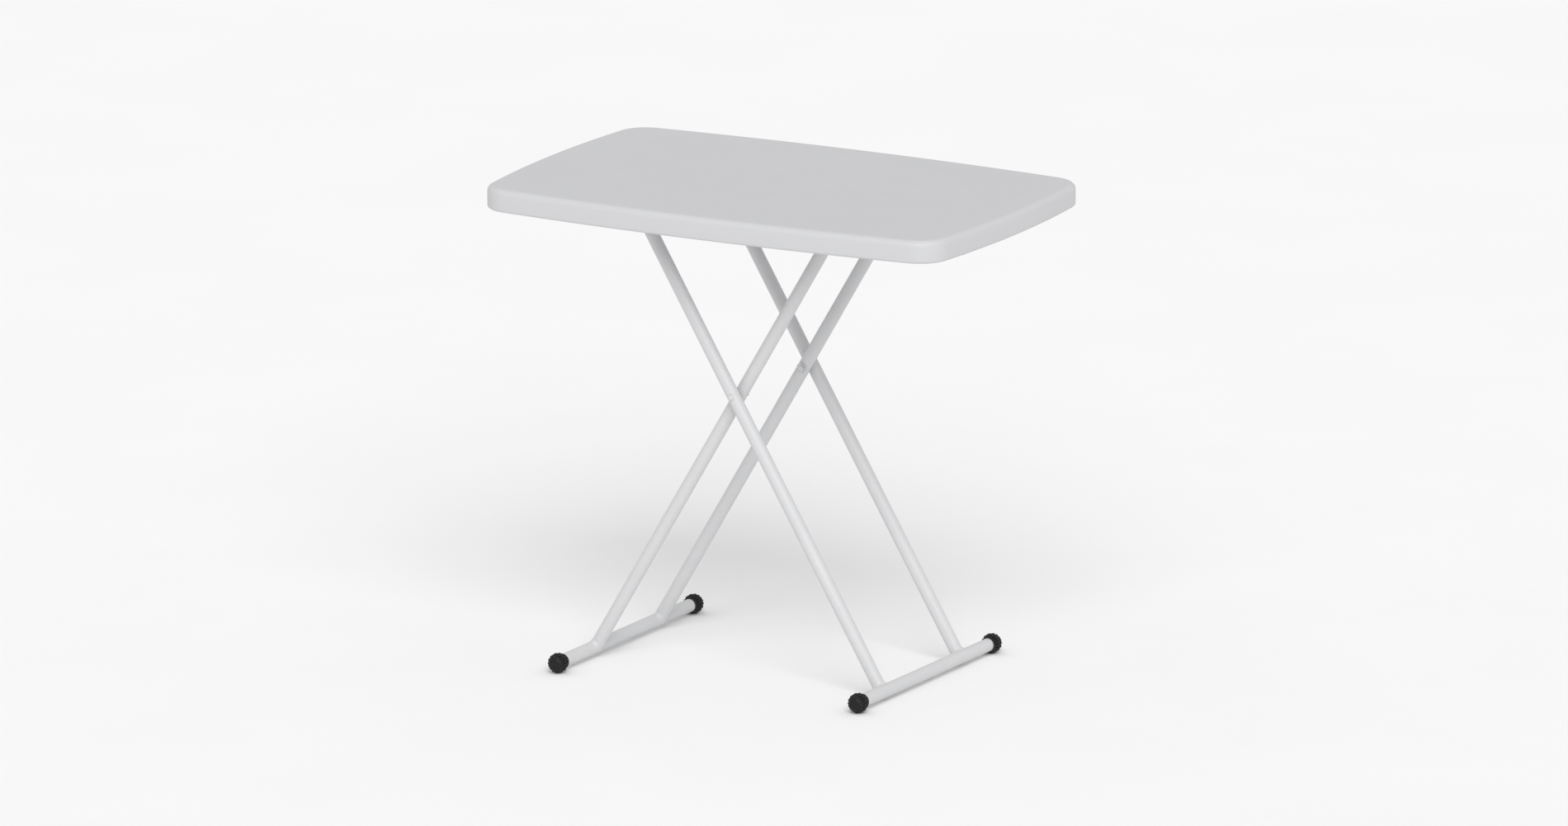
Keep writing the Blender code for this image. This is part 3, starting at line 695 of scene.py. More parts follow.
class SweepTree(GeometryTree):
    """Round bar along a path, with closed ends."""

    def __init__(self) -> None:
        """Build the tree."""
        super().__init__("round_bar_on_path", Radius=0.001, Sides=24)
        wire, given = self.wire, self.given
        ring = wire.use("GeometryNodeCurvePrimitiveCircle",
                        {"Resolution": given["Sides"], "Radius": given["Radius"]})
        bar = wire.use("GeometryNodeCurveToMesh", {"Curve": given["Geometry"], "Profile Curve": ring,
                                                   "Fill Caps": True})
        self.end(bar)

    def bar(self, name: str, points: Sequence[Vector], radius: float,
            sides: int = 24) -> bpy.types.Object:
        """Sweep a round bar along points.

        Args:
            name: the piece's name.
            points: the centre line.
            radius: the bar's radius.
            sides: points round it.
        Returns:
            The bar as a plain mesh.
        """
        curve = bpy.data.curves.new(name, "CURVE")
        curve.dimensions = "3D"
        spline = curve.splines.new("POLY")
        spline.points.add(len(points) - 1)
        for point, place in zip(spline.points, points):
            point.co = (*place, 1.0)
        grown = self.grow(linked(name + "_path", curve), name, Radius=float(radius), Sides=int(sides))
        return healed(grown)


class ScatterTree(GeometryTree):
    """A copy of a template at every point of a mesh."""

    def __init__(self) -> None:
        """Build the tree."""
        super().__init__("template_on_points", Template="Object", Turn=0.0, Seed=7)
        wire, given = self.wire, self.given
        template = wire.use("GeometryNodeObjectInfo", {"Object": given["Template"]}, out="Geometry")
        chance = wire.node("FunctionNodeRandomValue", data_type="FLOAT")
        wire.feed(chance.inputs["Seed"], given["Seed"])
        angle = wire.math("MULTIPLY", next(o for o in chance.outputs if o.enabled), given["Turn"])
        turn = wire.use("ShaderNodeCombineXYZ", {"Z": angle})
        spots = wire.use("GeometryNodeMeshToPoints", {"Mesh": given["Geometry"]})
        copies = wire.use("GeometryNodeInstanceOnPoints",
                          {"Points": spots, "Instance": template, "Rotation": turn})
        self.end(copies)

    def spread(self, name: str, template: bpy.types.Object, places: Sequence[Vector], turn: float = 0.0,
               seed: int = 7) -> bpy.types.Object:
        """Copy a template to every place.

        Args:
            name: the result's name.
            template: an object at the origin; it is removed.
            places: where the copies go.
            turn: the largest random turn about Z, in radians.
            seed: seed of the random turns.
        Returns:
            All copies as one plain mesh.
        """
        points = bpy.data.meshes.new(name + "_points")
        points.from_pydata([tuple(place) for place in places], [], [])
        source = linked(name + "_points", points)
        return self.grow(source, name, template, Template=template, Turn=float(turn), Seed=int(seed))


class RibbedCapTree(GeometryTree):
    """A turned cap whose outer wall carries ribs, worked out from the turn of each point.

    The grid's X runs once round the cap.  Three attributes on the grid give each point its radius
    at a rib's tip, its radius in a groove, and its height.
    """

    def __init__(self) -> None:
        """Build the tree."""
        super().__init__("ribbed_cap", Ribs=16.0, Sharpness=3.0)
        wire, given = self.wire, self.given
        tip, root, height = (
            wire.use("GeometryNodeInputNamedAttribute", {"Name": label}, data_type="FLOAT")
            for label in ("tip", "root", "height"))
        place = wire.node("ShaderNodeSeparateXYZ")
        wire.feed(place.inputs[0], wire.node("GeometryNodeInputPosition").outputs[0])
        turn = wire.math("MULTIPLY", place.outputs["X"], TAU)
        wave = wire.math("COSINE", wire.math("MULTIPLY", turn, given["Ribs"]))
        lifted = wire.math("MULTIPLY", wire.math("ADD", wave, 1.0), 0.5)
        crest = wire.math("POWER", lifted, given["Sharpness"])
        rise = wire.math("MULTIPLY", wire.math("SUBTRACT", tip, root), crest)
        radius = wire.math("ADD", root, rise)
        spot_x = wire.math("MULTIPLY", radius, wire.math("COSINE", turn))
        spot_y = wire.math("MULTIPLY", radius, wire.math("SINE", turn))
        spot = wire.use("ShaderNodeCombineXYZ", {"X": spot_x, "Y": spot_y, "Z": height})
        moved = wire.use("GeometryNodeSetPosition", {"Geometry": given["Geometry"], "Position": spot})
        self.end(wire.use("GeometryNodeMergeByDistance", {"Geometry": moved, "Distance": MERGE}))

    def cap(self, name: str, stations: Sequence[tuple[float, float, float]], ribs: int, around: int,
            sharpness: float) -> bpy.types.Object:
        """Make a ribbed cap that points along +Z from the origin.

        Args:
            name: the piece's name.
            stations: tip radius, groove radius and height, from the bore's bottom outwards.
            ribs: number of ribs.
            around: points round the cap.
            sharpness: how narrow the ribs are.
        Returns:
            The cap as a plain mesh.
        """
        shape = bmesh.new()
        labels = [shape.verts.layers.float.new(label) for label in ("tip", "root", "height")]
        rows = []
        for station in stations:
            row = [shape.verts.new((step / around, 0.0, 0.0)) for step in range(around + 1)]
            for vert in row:
                for label, value in zip(labels, station):
                    vert[label] = value
            rows.append(row)
        for lower, upper in zip(rows, rows[1:]):
            for index in range(around):
                shape.faces.new((lower[index], lower[index + 1], upper[index + 1], upper[index]))
        source = object_of(shape, name + "_grid", heal=False)
        return self.grow(source, name, Ribs=float(ribs), Sharpness=float(sharpness))


# ---- tabletop
@dataclass
class Assembly:
    """A group of pieces that are built together.

    Attributes:
        shop: where pieces are finished.
    """

    shop: Workshop


@dataclass
class Tabletop(Assembly):
    """The blow-moulded top: flat surface, soft edge, deep rim and a recessed, tacked underside.

    Attributes:
        long_bow: bulge of each long side between its corners.
        short_bow: bulge of each short side.
        corner: radius of the corners.
        top_round: radius of the upper edge.
        low_round: radius of the rim's lower edges.
        panel: top surface down to the recess ceiling.
        rim: width of the rim's foot.
        inner_round: radius of the rounds inside the recess.
        draft: how far the recess wall leans in.
        tile: size of one field of the tacked underside.
        tile_count: fields along X and along Y.
        pit_mouth: radius of a tack-off's mouth.
        pit_floor: radius of its floor.
        pit_depth: its depth.
        pit_lip: radius of the round at its mouth.
        outline_steps: steps along half a short side, a corner and half a long side.
        points_per_tile: points along each side of a field.
        pad_margin: flat border round hardware.
    """

    long_bow: float = 0.020
    short_bow: float = 0.0175
    corner: float = 0.047
    top_round: float = 0.009
    low_round: float = 0.004
    panel: float = 0.020
    rim: float = 0.018
    inner_round: float = 0.0025
    draft: float = 0.0035
    tile: tuple[float, float] = (0.040, 0.042)
    tile_count: tuple[int, int] = (16, 9)
    pit_mouth: float = 0.0125
    pit_floor: float = 0.0050
    pit_depth: float = 0.0135
    pit_lip: float = 0.0018
    outline_steps: tuple[int, int, int] = (14, 20, 18)
    points_per_tile: int = 6
    pad_margin: float = 0.004

    def __post_init__(self) -> None:
        """Read the moulding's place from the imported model."""
        self.span = Span.of("tabletop_shell")
        self.ceiling = self.span.high.z - self.panel

    def outline(self, inset: float) -> list[tuple[float, float]]:
        """The bowed outline, drawn in by an inset, anticlockwise from the middle of the right side.

        Args:
            inset: distance inside the outermost outline.
        Returns:
            (x, y) points.
        """
        half_x, half_y = self.span.size.x / 2, self.span.size.y / 2
        long_radius = (half_x**2 + self.long_bow**2) / (2 * self.long_bow)
        short_radius = (half_y**2 + self.short_bow**2) / (2 * self.short_bow)
        low = Vector((0.0, half_y - long_radius))
        side = Vector((half_x - short_radius, 0.0))
        reach_low, reach_side = long_radius - self.corner, short_radius - self.corner
        between = side - low
        along = (reach_low**2 - reach_side**2 + between.length_squared) / (2 * between.length)
        unit = between.normalized()
        normal = Vector((-unit.y, unit.x)) * math.sqrt(reach_low**2 - along**2)
        foot = low + unit * along
        centre = max((foot + normal, foot - normal), key=lambda point: point.x + point.y)
        side_turn = math.atan2(centre.y - side.y, centre.x - side.x)
        low_turn = math.atan2(centre.y - low.y, centre.x - low.x)
        short_steps, corner_steps, long_steps = self.outline_steps
        quarter = arc(tuple(side), short_radius - inset, 0.0, side_turn, short_steps)[:-1]
        quarter += arc(tuple(centre), self.corner - inset, side_turn, low_turn, corner_steps)[:-1]
        quarter += arc(tuple(low), long_radius - inset, low_turn, QUARTER, long_steps)
        back = quarter[::-1]
        loop = quarter[:-1] + [(-x, y) for x, y in back[:-1]]
        return loop + [(-x, -y) for x, y in quarter[:-1]] + [(x, -y) for x, y in back[:-1]]

    def levels(self) -> list[tuple[float, float]]:
        """Inset and height of each outline of the skin, from the top surface to the recess ceiling."""
        top, bottom, big, small = self.span.high.z, self.span.low.z, self.top_round, self.low_round
        inner, foot = self.inner_round, self.rim - self.inner_round
        wall = self.rim + self.draft + inner
        rows = [(big * 4.0, top), (big * 1.25, top)] + arc((big, top - big), big, QUARTER, math.pi, 12)
        rows += [(0.0, (top + bottom) / 2)] + arc((small, bottom + small), small, math.pi, 3 * QUARTER, 6)
        rows += arc((foot, bottom + inner), inner, -QUARTER, 0.0, 5)
        return rows + arc((wall, self.ceiling - inner), inner, math.pi, QUARTER, 5)

    def pads(self) -> list[tuple[float, float, float, float]]:
        """Rectangles (low x, low y, high x, high y) of the ceiling that stay flat under hardware."""
        kinds, border = ("height_rack", "hinge_block", "bail_bracket"), self.pad_margin
        spans = [Span.of(f"{kind}_{side}") for kind in kinds for side, _ in SIDES]
        return [(span.low.x - border, span.low.y - border, span.high.x + border, span.high.y + border)
                for span in (*spans, Span.of("blow_hole_plug"))]

    def fields(self) -> tuple[list[Vector], list[Vector]]:
        """Centres of the tacked fields and of the flat fields of the ceiling."""
        wide, deep = self.tile
        columns, rows = self.tile_count
        tacked, flat = [], []
        pads = self.pads()
        for column in range(columns):
            for row in range(rows):
                x, y = (column - (columns - 1) / 2) * wide, (row - (rows - 1) / 2) * deep
                clear = all(x + self.pit_mouth < pad[0] or x - self.pit_mouth > pad[2]
                            or y + self.pit_mouth < pad[1] or y - self.pit_mouth > pad[3] for pad in pads)
                (tacked if clear else flat).append(Vector((x, y, self.ceiling)))
        return tacked, flat

    def field_edge(self) -> list[tuple[float, float]]:
        """Points round one rectangular field, which neighbours share."""
        half_x, half_y = self.tile[0] / 2, self.tile[1] / 2
        corners = [(-half_x, -half_y), (half_x, -half_y), (half_x, half_y), (-half_x, half_y)]
        points = []
        for index, (x, y) in enumerate(corners):
            after = corners[(index + 1) % 4]
            for step in range(self.points_per_tile):
                part = step / self.points_per_tile
                points.append((x + (after[0] - x) * part, y + (after[1] - y) * part))
        return points

    def tack_off(self) -> bpy.types.Object:
        """One field with a round conical pit where the two walls meet."""
        shape = bmesh.new()
        edge = self.field_edge()
        rings = [[shape.verts.new((x, y, 0.0)) for x, y in edge]]
        mouth, floor, depth, lip = self.pit_mouth, self.pit_floor, self.pit_depth, self.pit_lip
        rows = arc((mouth, lip), lip, -QUARTER, -math.pi, 4)[:-1]
        rows += [((mouth - lip + floor) / 2 + 0.0006, depth / 2), (floor + 0.0012, depth - 0.0014),
                 (floor + 0.0003, depth - 0.0004), (floor - 0.0012, depth)]
        for radius, height in rows:
            ring = []
            for x, y in edge:
                turn = math.atan2(y, x)
                ring.append(shape.verts.new((radius * math.cos(turn), radius * math.sin(turn), height)))
            rings.append(ring)
        bridge(shape, rings)
        shape.faces.new(rings[-1])
        return object_of(shape, "tack_off", heal=False)

    def underside(self, shape: bmesh.types.BMesh) -> None:
        """Fill a moulding's recess ceiling with tacked and flat fields and a plain border."""
        tacked, flat = self.fields()
        field = self.shop.scatter.spread("tack_offs", self.tack_off(), tacked)
        shape.from_mesh(field.data)
        bpy.data.objects.remove(field)
        edge = self.field_edge()
        for centre in flat:
            shape.faces.new([shape.verts.new((centre.x + x, centre.y + y, centre.z)) for x, y in edge])
        bmesh.ops.remove_doubles(shape, verts=shape.verts, dist=0.00002)
        rim_edges = [item for item in shape.edges if item.is_boundary]
        bmesh.ops.triangle_fill(shape, edges=rim_edges, use_beauty=True, normal=-UP)

    def build(self) -> None:
        """Make the moulding and the plug of its blow hole."""
        shape = bmesh.new()
        rings = [[shape.verts.new((x, y, z)) for x, y in self.outline(inset)]
                 for inset, z in self.levels()]
        bridge(shape, rings)
        shape.faces.new(rings[0])
        self.underside(shape)
        piece = object_of(shape, "moulded_top")
        self.shop.finish(piece, Slot.MOULDED_WHITE, Body.TOP, "tabletop_shell", angle=30.0)
        span = Span.of("blow_hole_plug")
        place = Vector((span.centre.x, span.centre.y, self.ceiling))
        wide = span.size.x / 2
        profile = [(0.0, 0.0068), (0.0028, 0.0066), (0.0035, 0.0055), (0.0035, 0.0), (wide, -0.0002),
                   (wide, -0.0010), (wide * 0.94, -0.0015), (0.0032, -0.0017), (0.0028, -0.0013),
                   (0.0, -0.0013)]
        plug = turned("blow_hole_cap", profile, place, UP, 40)
        self.shop.finish(plug, Slot.BLACK_PLASTIC, Body.TOP, "blow_hole_plug")


# ---- tube frames
@dataclass
class TubeFrame(Assembly):
    """One of the two leg frames: two legs welded to a crossbar and a foot bar, capped and plugged.

    Attributes:
        name: outer or inner.
        body: the body it rides on.
        lean: legs from the vertical.
        top_fillet: reach of the welds at the crossbar.
        foot_fillet: reach of the welds at the foot bar.
        ribs: ribs round each foot cap.
        groove: depth of the grooves between them.
        sides: points round a tube.
        seam_steps: points round a weld.
        fillet_steps: faces across a weld.
        swell: how far a weld stands out at its middle.
        ripple: share of the swell that comes and goes along a weld.
        ripple_pace: turn of the ripple at each point round the weld, in radians.
        sunk: how deep a weld reaches into the tubes.
    """

    name: str
    body: Body
    lean: float = math.radians(30.7)
    top_fillet: float = 0.0028
    foot_fillet: float = 0.0055
    ribs: int = 16
    groove: float = 0.0034
    sides: int = 72
    seam_steps: int = 120
    fillet_steps: int = 7
    swell: float = 0.00022
    ripple: float = 0.35
    ripple_pace: float = 1.35
    sunk: float = 0.0012

    def __post_init__(self) -> None:
        """Read the frame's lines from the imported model."""
        crossbar, foot = Span.of(self.name + "_crossbar"), Span.of(self.name + "_foot_bar")
        self.radius = crossbar.size.z / 2
        self.top = crossbar.centre
        self.foot = foot.centre
        self.top_half, self.foot_half = crossbar.size.y / 2, foot.size.y / 2
        self.out = 1.0 if self.foot.x > self.top.x else -1.0
        self.down = Vector((self.out * math.sin(self.lean), 0.0, -math.cos(self.lean)))
        self.beside = Vector((self.down.z, 0.0, -self.down.x)) * -self.out
        self.offset = (self.foot - self.top).dot(self.beside)
        self.length = (self.foot - self.top).dot(self.down)

    def seam(self, axis: Vector, offset: float, toward: float) -> list[tuple[Vector, Vector]]:
        """Where the skin of a leg in the plane Y = 0 meets a bar's skin.

        Args:
            axis: a point on the bar's axis.
            offset: how far the bar's axis lies beside the leg's axis.
            toward: +1 when the leg reaches the bar going down, -1 going up.
        Returns:
            Each point with the direction straight out of the leg, in order round the leg.
        """
        found, first = [], 0.0 if offset < 0.0 else -math.pi
        for step in range(self.seam_steps):
            turn = first + TAU * (step + 0.5) / self.seam_steps
            beside = self.radius * math.cos(turn) - offset
            if abs(beside) >= self.radius:
                continue
            depth = math.sqrt(self.radius**2 - beside**2)
            point = axis + self.beside * beside - self.down * depth * toward
            point += ACROSS * self.radius * math.sin(turn)
            found.append((point, self.beside * math.cos(turn) + ACROSS * math.sin(turn)))
        return found

    def weld(self, name: str, axis: Vector, offset: float, y: float, toward: float, reach: float,
             limit: float) -> bpy.types.Object:
        """A concave weld fillet between a leg and a bar, painted over, with faint ripples.

        Args:
            name: the piece's name.
            axis: a point on the bar's axis.
            offset: how far the bar's axis lies beside the leg's axis.
            y: the leg's place along the bar.
            toward: +1 when the leg reaches the bar going down, -1 going up.
            reach: how far the fillet runs up the leg and along the bar.
            limit: the fillet stays within this distance of Y = 0.
        Returns:
            The fillet, a closed solid half sunk in both tubes.
        """
        shape, rings, steps = bmesh.new(), [], self.fillet_steps
        seam = self.seam(axis, offset, toward)
        for index, (point, outward) in enumerate(seam):
            normal = Vector((point.x - axis.x, 0.0, point.z - axis.z)).normalized()
            along = outward - normal * outward.dot(normal)
            landed = point + along.normalized() * reach
            skin = Vector((landed.x - axis.x, 0.0, landed.z - axis.z)).normalized() * self.radius
            across = max(-limit, min(limit, y + landed.y)) - y
            high = point - self.down * reach * toward
            low = Vector((axis.x + skin.x, across, axis.z + skin.z))
            ring = []
            for step in range(steps + 1):
                part = step / steps
                place = high * (1 - part) ** 2 + point * 2 * part * (1 - part) + low * part**2
                wave = 1 + self.ripple * math.sin(index * self.ripple_pace)
                swell = self.swell * math.sin(math.pi * part) * wave
                ring.append(place + (outward + normal).normalized() * swell)
            deep, shallow = self.sunk, self.sunk * 2 / 3
            buried = point - outward * deep - normal * deep
            ring += [low - normal * shallow, buried, high - outward * shallow]
            rings.append([shape.verts.new(place + ACROSS * y) for place in ring])
        if len(seam) == self.seam_steps:
            rings.append(rings[0])
        bridge(shape, rings)
        if rings[0] is not rings[-1]:
            shape.faces.new(rings[0])
            shape.faces.new(rings[-1])
        return object_of(shape, name)

    def leg(self, side: str, sign: float) -> None:
        """One leg with its two welds.

        Args:
            side: front or rear.
            sign: -1 for front, 1 for rear.
        """
        y = sign * abs(Span.of(f"{self.name}_leg_{side}").centre.y)
        top, foot = Vector((self.top.x, 0.0, self.top.z)), Vector((self.foot.x, 0.0, self.foot.z))
        start = top + self.down * (self.radius * 0.35) + ACROSS * y
        end = top + self.down * self.length + ACROSS * y
        name = f"{self.name}_{side}_leg_tube"
        rod = self.shop.sweep.bar(name, [start, (start + end) / 2, end], self.radius, self.sides)
        gap = 0.0003
        top_weld = self.weld(
            f"{name}_top_weld", top, 0.0, y, -1.0, self.top_fillet, self.top_half - gap)
        foot_weld = self.weld(
            f"{name}_foot_weld", foot, self.offset, y, 1.0, self.foot_fillet, self.foot_half)
        leg = merged(name, [rod, top_weld, foot_weld])
        self.shop.finish(leg, Slot.FRAME_PAINT, self.body, f"{self.name}_leg_{side}")

    def bars(self) -> None:
        """The crossbar and the foot bar."""
        for part, centre, half in (("crossbar", self.top, self.top_half),
                                   ("foot_bar", self.foot, self.foot_half)):
            ends = [Vector((centre.x, share * half, centre.z)) for share in (-1.0, 0.0, 1.0)]
            rod = self.shop.sweep.bar(f"{self.name}_{part}_tube", ends, self.radius, self.sides)
            self.shop.finish(rod, Slot.FRAME_PAINT, self.body, f"{self.name}_{part}")

    def foot_cap(self, side: str, sign: float) -> None:
        """A ribbed plastic cap over one end of the foot bar.

        Args:
            side: front or rear.
            sign: -1 for front, 1 for rear.
        """
        span = Span.of(f"{self.name}_cap_{side}")
        length, full = span.size.y, span.size.z / 2
        bore, rim, nose = self.radius + 0.0002, 0.0006, 0.0016
        lip, end, last = bore + 0.0010, full * 0.57, length - nose
        collar, skirt, widest, floor = lip + rim, 0.0026, length * 0.42, length - 0.0065
        plain = [(0.0, floor), (bore, floor), (bore, rim), (bore + rim, 0.0)]
        plain += [(lip + rim * math.sin(turn), rim * (1 - math.cos(turn)))
                  for turn in (0.0, 0.5, 1.0, QUARTER)]
        rows = [(radius, radius, height) for radius, height in plain + [(collar, skirt)]]
        steps = 18
        for step in range(1, steps + 1):
            height = skirt + (last - skirt) * step / steps
            if height < widest:
                tip = full - (full - collar) * ((widest - height) / (widest - skirt)) ** 2.0
            else:
                tip = end + (full - end) * math.sqrt(1 - ((height - widest) / (last - widest)) ** 2.4)
            groove = self.groove * min(1.0, (height - skirt) / 0.0020, (last - height) / 0.0070)
            root = bore + 0.0005 if height < length - 0.0062 else end * 0.97
            rows.append((tip, min(tip, max(tip - groove, root)), height))
        closing = [(end - nose * (1 - math.cos(turn)), last + nose * math.sin(turn))
                   for turn in (0.35, 0.75, 1.15, QUARTER)]
        closing += [(end * 0.45, length), (0.0, length)]
        rows += [(radius, radius, height) for radius, height in closing]
        cap = self.shop.ribbed.cap(f"{self.name}_{side}_foot_cap", rows, self.ribs, self.ribs * 14, 4.0)
        start = Vector((self.foot.x, span.high.y if sign < 0 else span.low.y, self.foot.z))
        turn = Matrix.Rotation(QUARTER, 4, "Z")
        cap.data.transform(axis_matrix(start, ACROSS * sign) @ turn)
        self.shop.finish(healed(cap), Slot.BLACK_PLASTIC, self.body, f"{self.name}_cap_{side}",
                         angle=50.0)

    def end_plug(self, side: str, sign: float) -> None:
        """A plastic plug in one end of the crossbar.

        Args:
            side: front or rear.
            sign: -1 for front, 1 for rear.
        """
        face = Vector((self.top.x, sign * self.top_half, self.top.z))
        wide = self.radius
        profile = [(0.0, 0.00158), (wide * 0.55, 0.00155), (wide * 0.80, 0.0013), (wide * 0.94, 0.0009),
                   (wide, 0.0004), (wide, 0.00005), (wide * 0.83, 0.0), (wide * 0.83, -0.008),
                   (0.0, -0.009)]
        plug = turned(f"{self.name}_{side}_end_plug", profile, face, ACROSS * sign, 56)
        self.shop.finish(plug, Slot.BLACK_PLASTIC, self.body, f"{self.name}_plug_{side}")

    def build(self) -> None:
        """Make every piece of the frame."""
        self.bars()
        for side, sign in SIDES:
            self.leg(side, sign)
            self.foot_cap(side, sign)
            self.end_plug(side, sign)


@dataclass
class PivotHardware(Assembly):
    """Rivet, nylon spacer and washer where the legs cross.

    Attributes:
        shank: radius of the rivet's shank.
        head: height of its heads.
        play: gap between the shank and the rings round it.
    """

    shank: float = 0.0026
    head: float = 0.0020
    play: float = 0.0003

    def build(self) -> None:
        """Make both sets."""
        for side, sign in SIDES:
            rivet, spacer, washer = (Span.of(f"pivot_{kind}_{side}")
                                     for kind in ("rivet", "spacer", "washer"))
            outward = ACROSS * sign
            wide = rivet.size.x / 2
            length, head = rivet.size.y, self.head
            low = Vector((rivet.centre.x, rivet.low.y if sign > 0 else rivet.high.y, rivet.centre.z))
            dome = [(wide * math.sin(turn), head * math.cos(turn))
                    for turn in (0.0, 0.25, 0.5, 0.8, 1.1, 1.35, 1.5)]
            profile = [(radius, length - head + height) for radius, height in dome]
            profile += [(wide, length - head), (self.shank, length - head - 0.0001),
                        (self.shank, head + 0.0001)]
            profile += [(wide * 0.9, head), (wide * 0.9, head * 0.8), (wide * 0.7, head * 0.25),
                        (wide * 0.45, 0.0),
                        (wide * 0.3, head * 0.15), (0.0, head * 0.25)]
            piece = turned(f"{side}_pivot_rivet", profile, low, outward, 48)
            self.shop.finish(piece, Slot.FRAME_PAINT, Body.OUTER, f"pivot_rivet_{side}")
            for kind, span, slot, body in (("spacer", spacer, Slot.NYLON, Body.OUTER),
                                           ("washer", washer, Slot.ZINC, Body.INNER)):
                radius, thick, bore = span.size.x / 2, span.size.y, self.shank + self.play
                edge = thick * 0.22
                ring = [(bore, 0.0), (radius - edge, 0.0), (radius, edge), (radius, thick - edge),
                        (radius - edge, thick), (bore, thick)]
                base = Vector((span.centre.x, span.low.y, span.centre.z))
                piece = turned(f"{side}_pivot_{kind}", ring, base, ACROSS, 48, hollow=True)
                self.shop.finish(piece, slot, body, f"pivot_{kind}_{side}")


# ---- hardware under the top
@dataclass
class Saddles(Assembly):
    """Nylon blocks and steel straps that carry the outer crossbar.

    Attributes:
        strap: thickness of the strap.
        clearance: play round the crossbar.
        corner: radius of the block's upper corners.
        chamfer: size of the slopes above them.
        bend: radius of the strap's bends.
    """

    strap: float = 0.0015
    clearance: float = 0.0003
    corner: float = 0.004
    chamfer: float = 0.006
    bend: float = 0.0012

    def build(self) -> None:
        """Make both saddles."""
        bar = Span.of("outer_crossbar")
        bore = bar.size.z / 2 + self.clearance
        axis = (bar.centre.x, bar.centre.z)
        corner, chamfer, bend = self.corner, self.chamfer, self.bend
        for side, _ in SIDES:
            span = Span.of(f"hinge_block_{side}")
            left, right, low, high = span.low.x, span.high.x, span.low.z, span.high.z
            outline = [(left, low)] + arc(axis, bore, math.pi, 0.0, 36) + [(right, low)]
            outline += arc((right - corner, high - chamfer), corner, 0.0, QUARTER, 6)
            outline += [(right - chamfer, high), (left + chamfer, high)]
            outline += arc((left + corner, high - chamfer), corner, QUARTER, math.pi, 6)
            block = prism("block", outline, span.low.y, span.high.y)
            piece = softened(block, f"{side}_hinge_block", 0.0006)
            self.shop.finish(piece, Slot.NYLON, Body.TOP, f"hinge_block_{side}")

            span = Span.of(f"hinge_strap_{side}")
            top, left, right = span.high.z, span.low.x, span.high.x
            outer = bore + self.strap
            inner_line = [(right, top)]
            inner_line += arc((axis[0] + bore + bend, top - bend), bend, QUARTER, math.pi, 4)
            inner_line += arc((axis[0], top - bend), bore, 0.0, -math.pi, 40)
            inner_line += arc((axis[0] - bore - bend, top - bend), bend, 0.0, QUARTER, 4) + [(left, top)]
            outer_line = [(left, top - self.strap)]
            outer_line += arc((axis[0], top - bend), outer, -math.pi + 0.06, -0.06, 40)
            outer_line += [(right, top - self.strap)]
            strap = prism("strap", inner_line + outer_line, span.low.y, span.high.y)
            piece = softened(strap, f"{side}_hinge_strap", 0.0003, 2)
            self.shop.finish(piece, Slot.ZINC, Body.TOP, f"hinge_strap_{side}")


@dataclass
class HeightRack(Assembly):
    """The two notched plates that the inner crossbar is pressed up into.

    Attributes:
        notches: height settings.
        pitch: distance between notches.
        half_width: half a notch's width.
        depth: a notch's depth.
        thickness: thickness of the plate.
        bend: inside radius of the bend to the flange.
        cut_inside: how far the notches are cut past the web's inner face.
        cut_outside: how far past its outer face.
    """

    notches: int = 5
    pitch: float = 0.036
    half_width: float = 0.0102
    depth: float = 0.0085
    thickness: float = 0.0020
    bend: float = 0.0015
    cut_inside: float = 0.0008
    cut_outside: float = 0.004

    def section(self, span: Span, sign: float) -> list[tuple[float, float]]:
        """The plate's angle section (y, z), flange inwards.

        Args:
            span: the plate's box.
            sign: -1 for front, 1 for rear.
        Returns:
            The outline, its web's outer face at the outer side.
        """
        outer, inner, thick, bend = span.outer, span.inner, self.thickness, self.bend
        top, tip = span.high.z, span.low.z
        big = bend + thick
        points = [(outer, tip)] + arc((outer - big, top - big), big, 0.0, QUARTER, 8)
        points += [(inner, top), (inner, top - thick)]
        points += arc((outer - big, top - big), bend, QUARTER, 0.0, 8) + [(outer - thick, tip)]
        return [(sign * y, z) for y, z in points]

    def build(self) -> None:
        """Make both plates."""
        first = Span.of("inner_crossbar").centre.x
        for side, sign in SIDES:
            span = Span.of(f"height_rack_{side}")
            plate = prism("plate", self.section(span, sign), span.low.x, span.high.x, ALONG)
            near = span.outer - self.thickness - self.cut_inside
            reach = sorted((sign * near, sign * (span.outer + self.cut_outside)))
            cutters = []
            for notch in range(self.notches):
                centre = first + notch * self.pitch
                ring = [(centre + self.half_width * math.cos(TAU * step / 48),
                         span.low.z + self.depth * math.sin(TAU * step / 48)) for step in range(48)]
                cutters.append(prism("notch_cutter", ring, *reach))
            carve(plate, cutters)
            piece = softened(plate, f"{side}_height_rack", 0.00025, 2, cutters)
            self.shop.finish(piece, Slot.FRAME_PAINT, Body.TOP, f"height_rack_{side}")


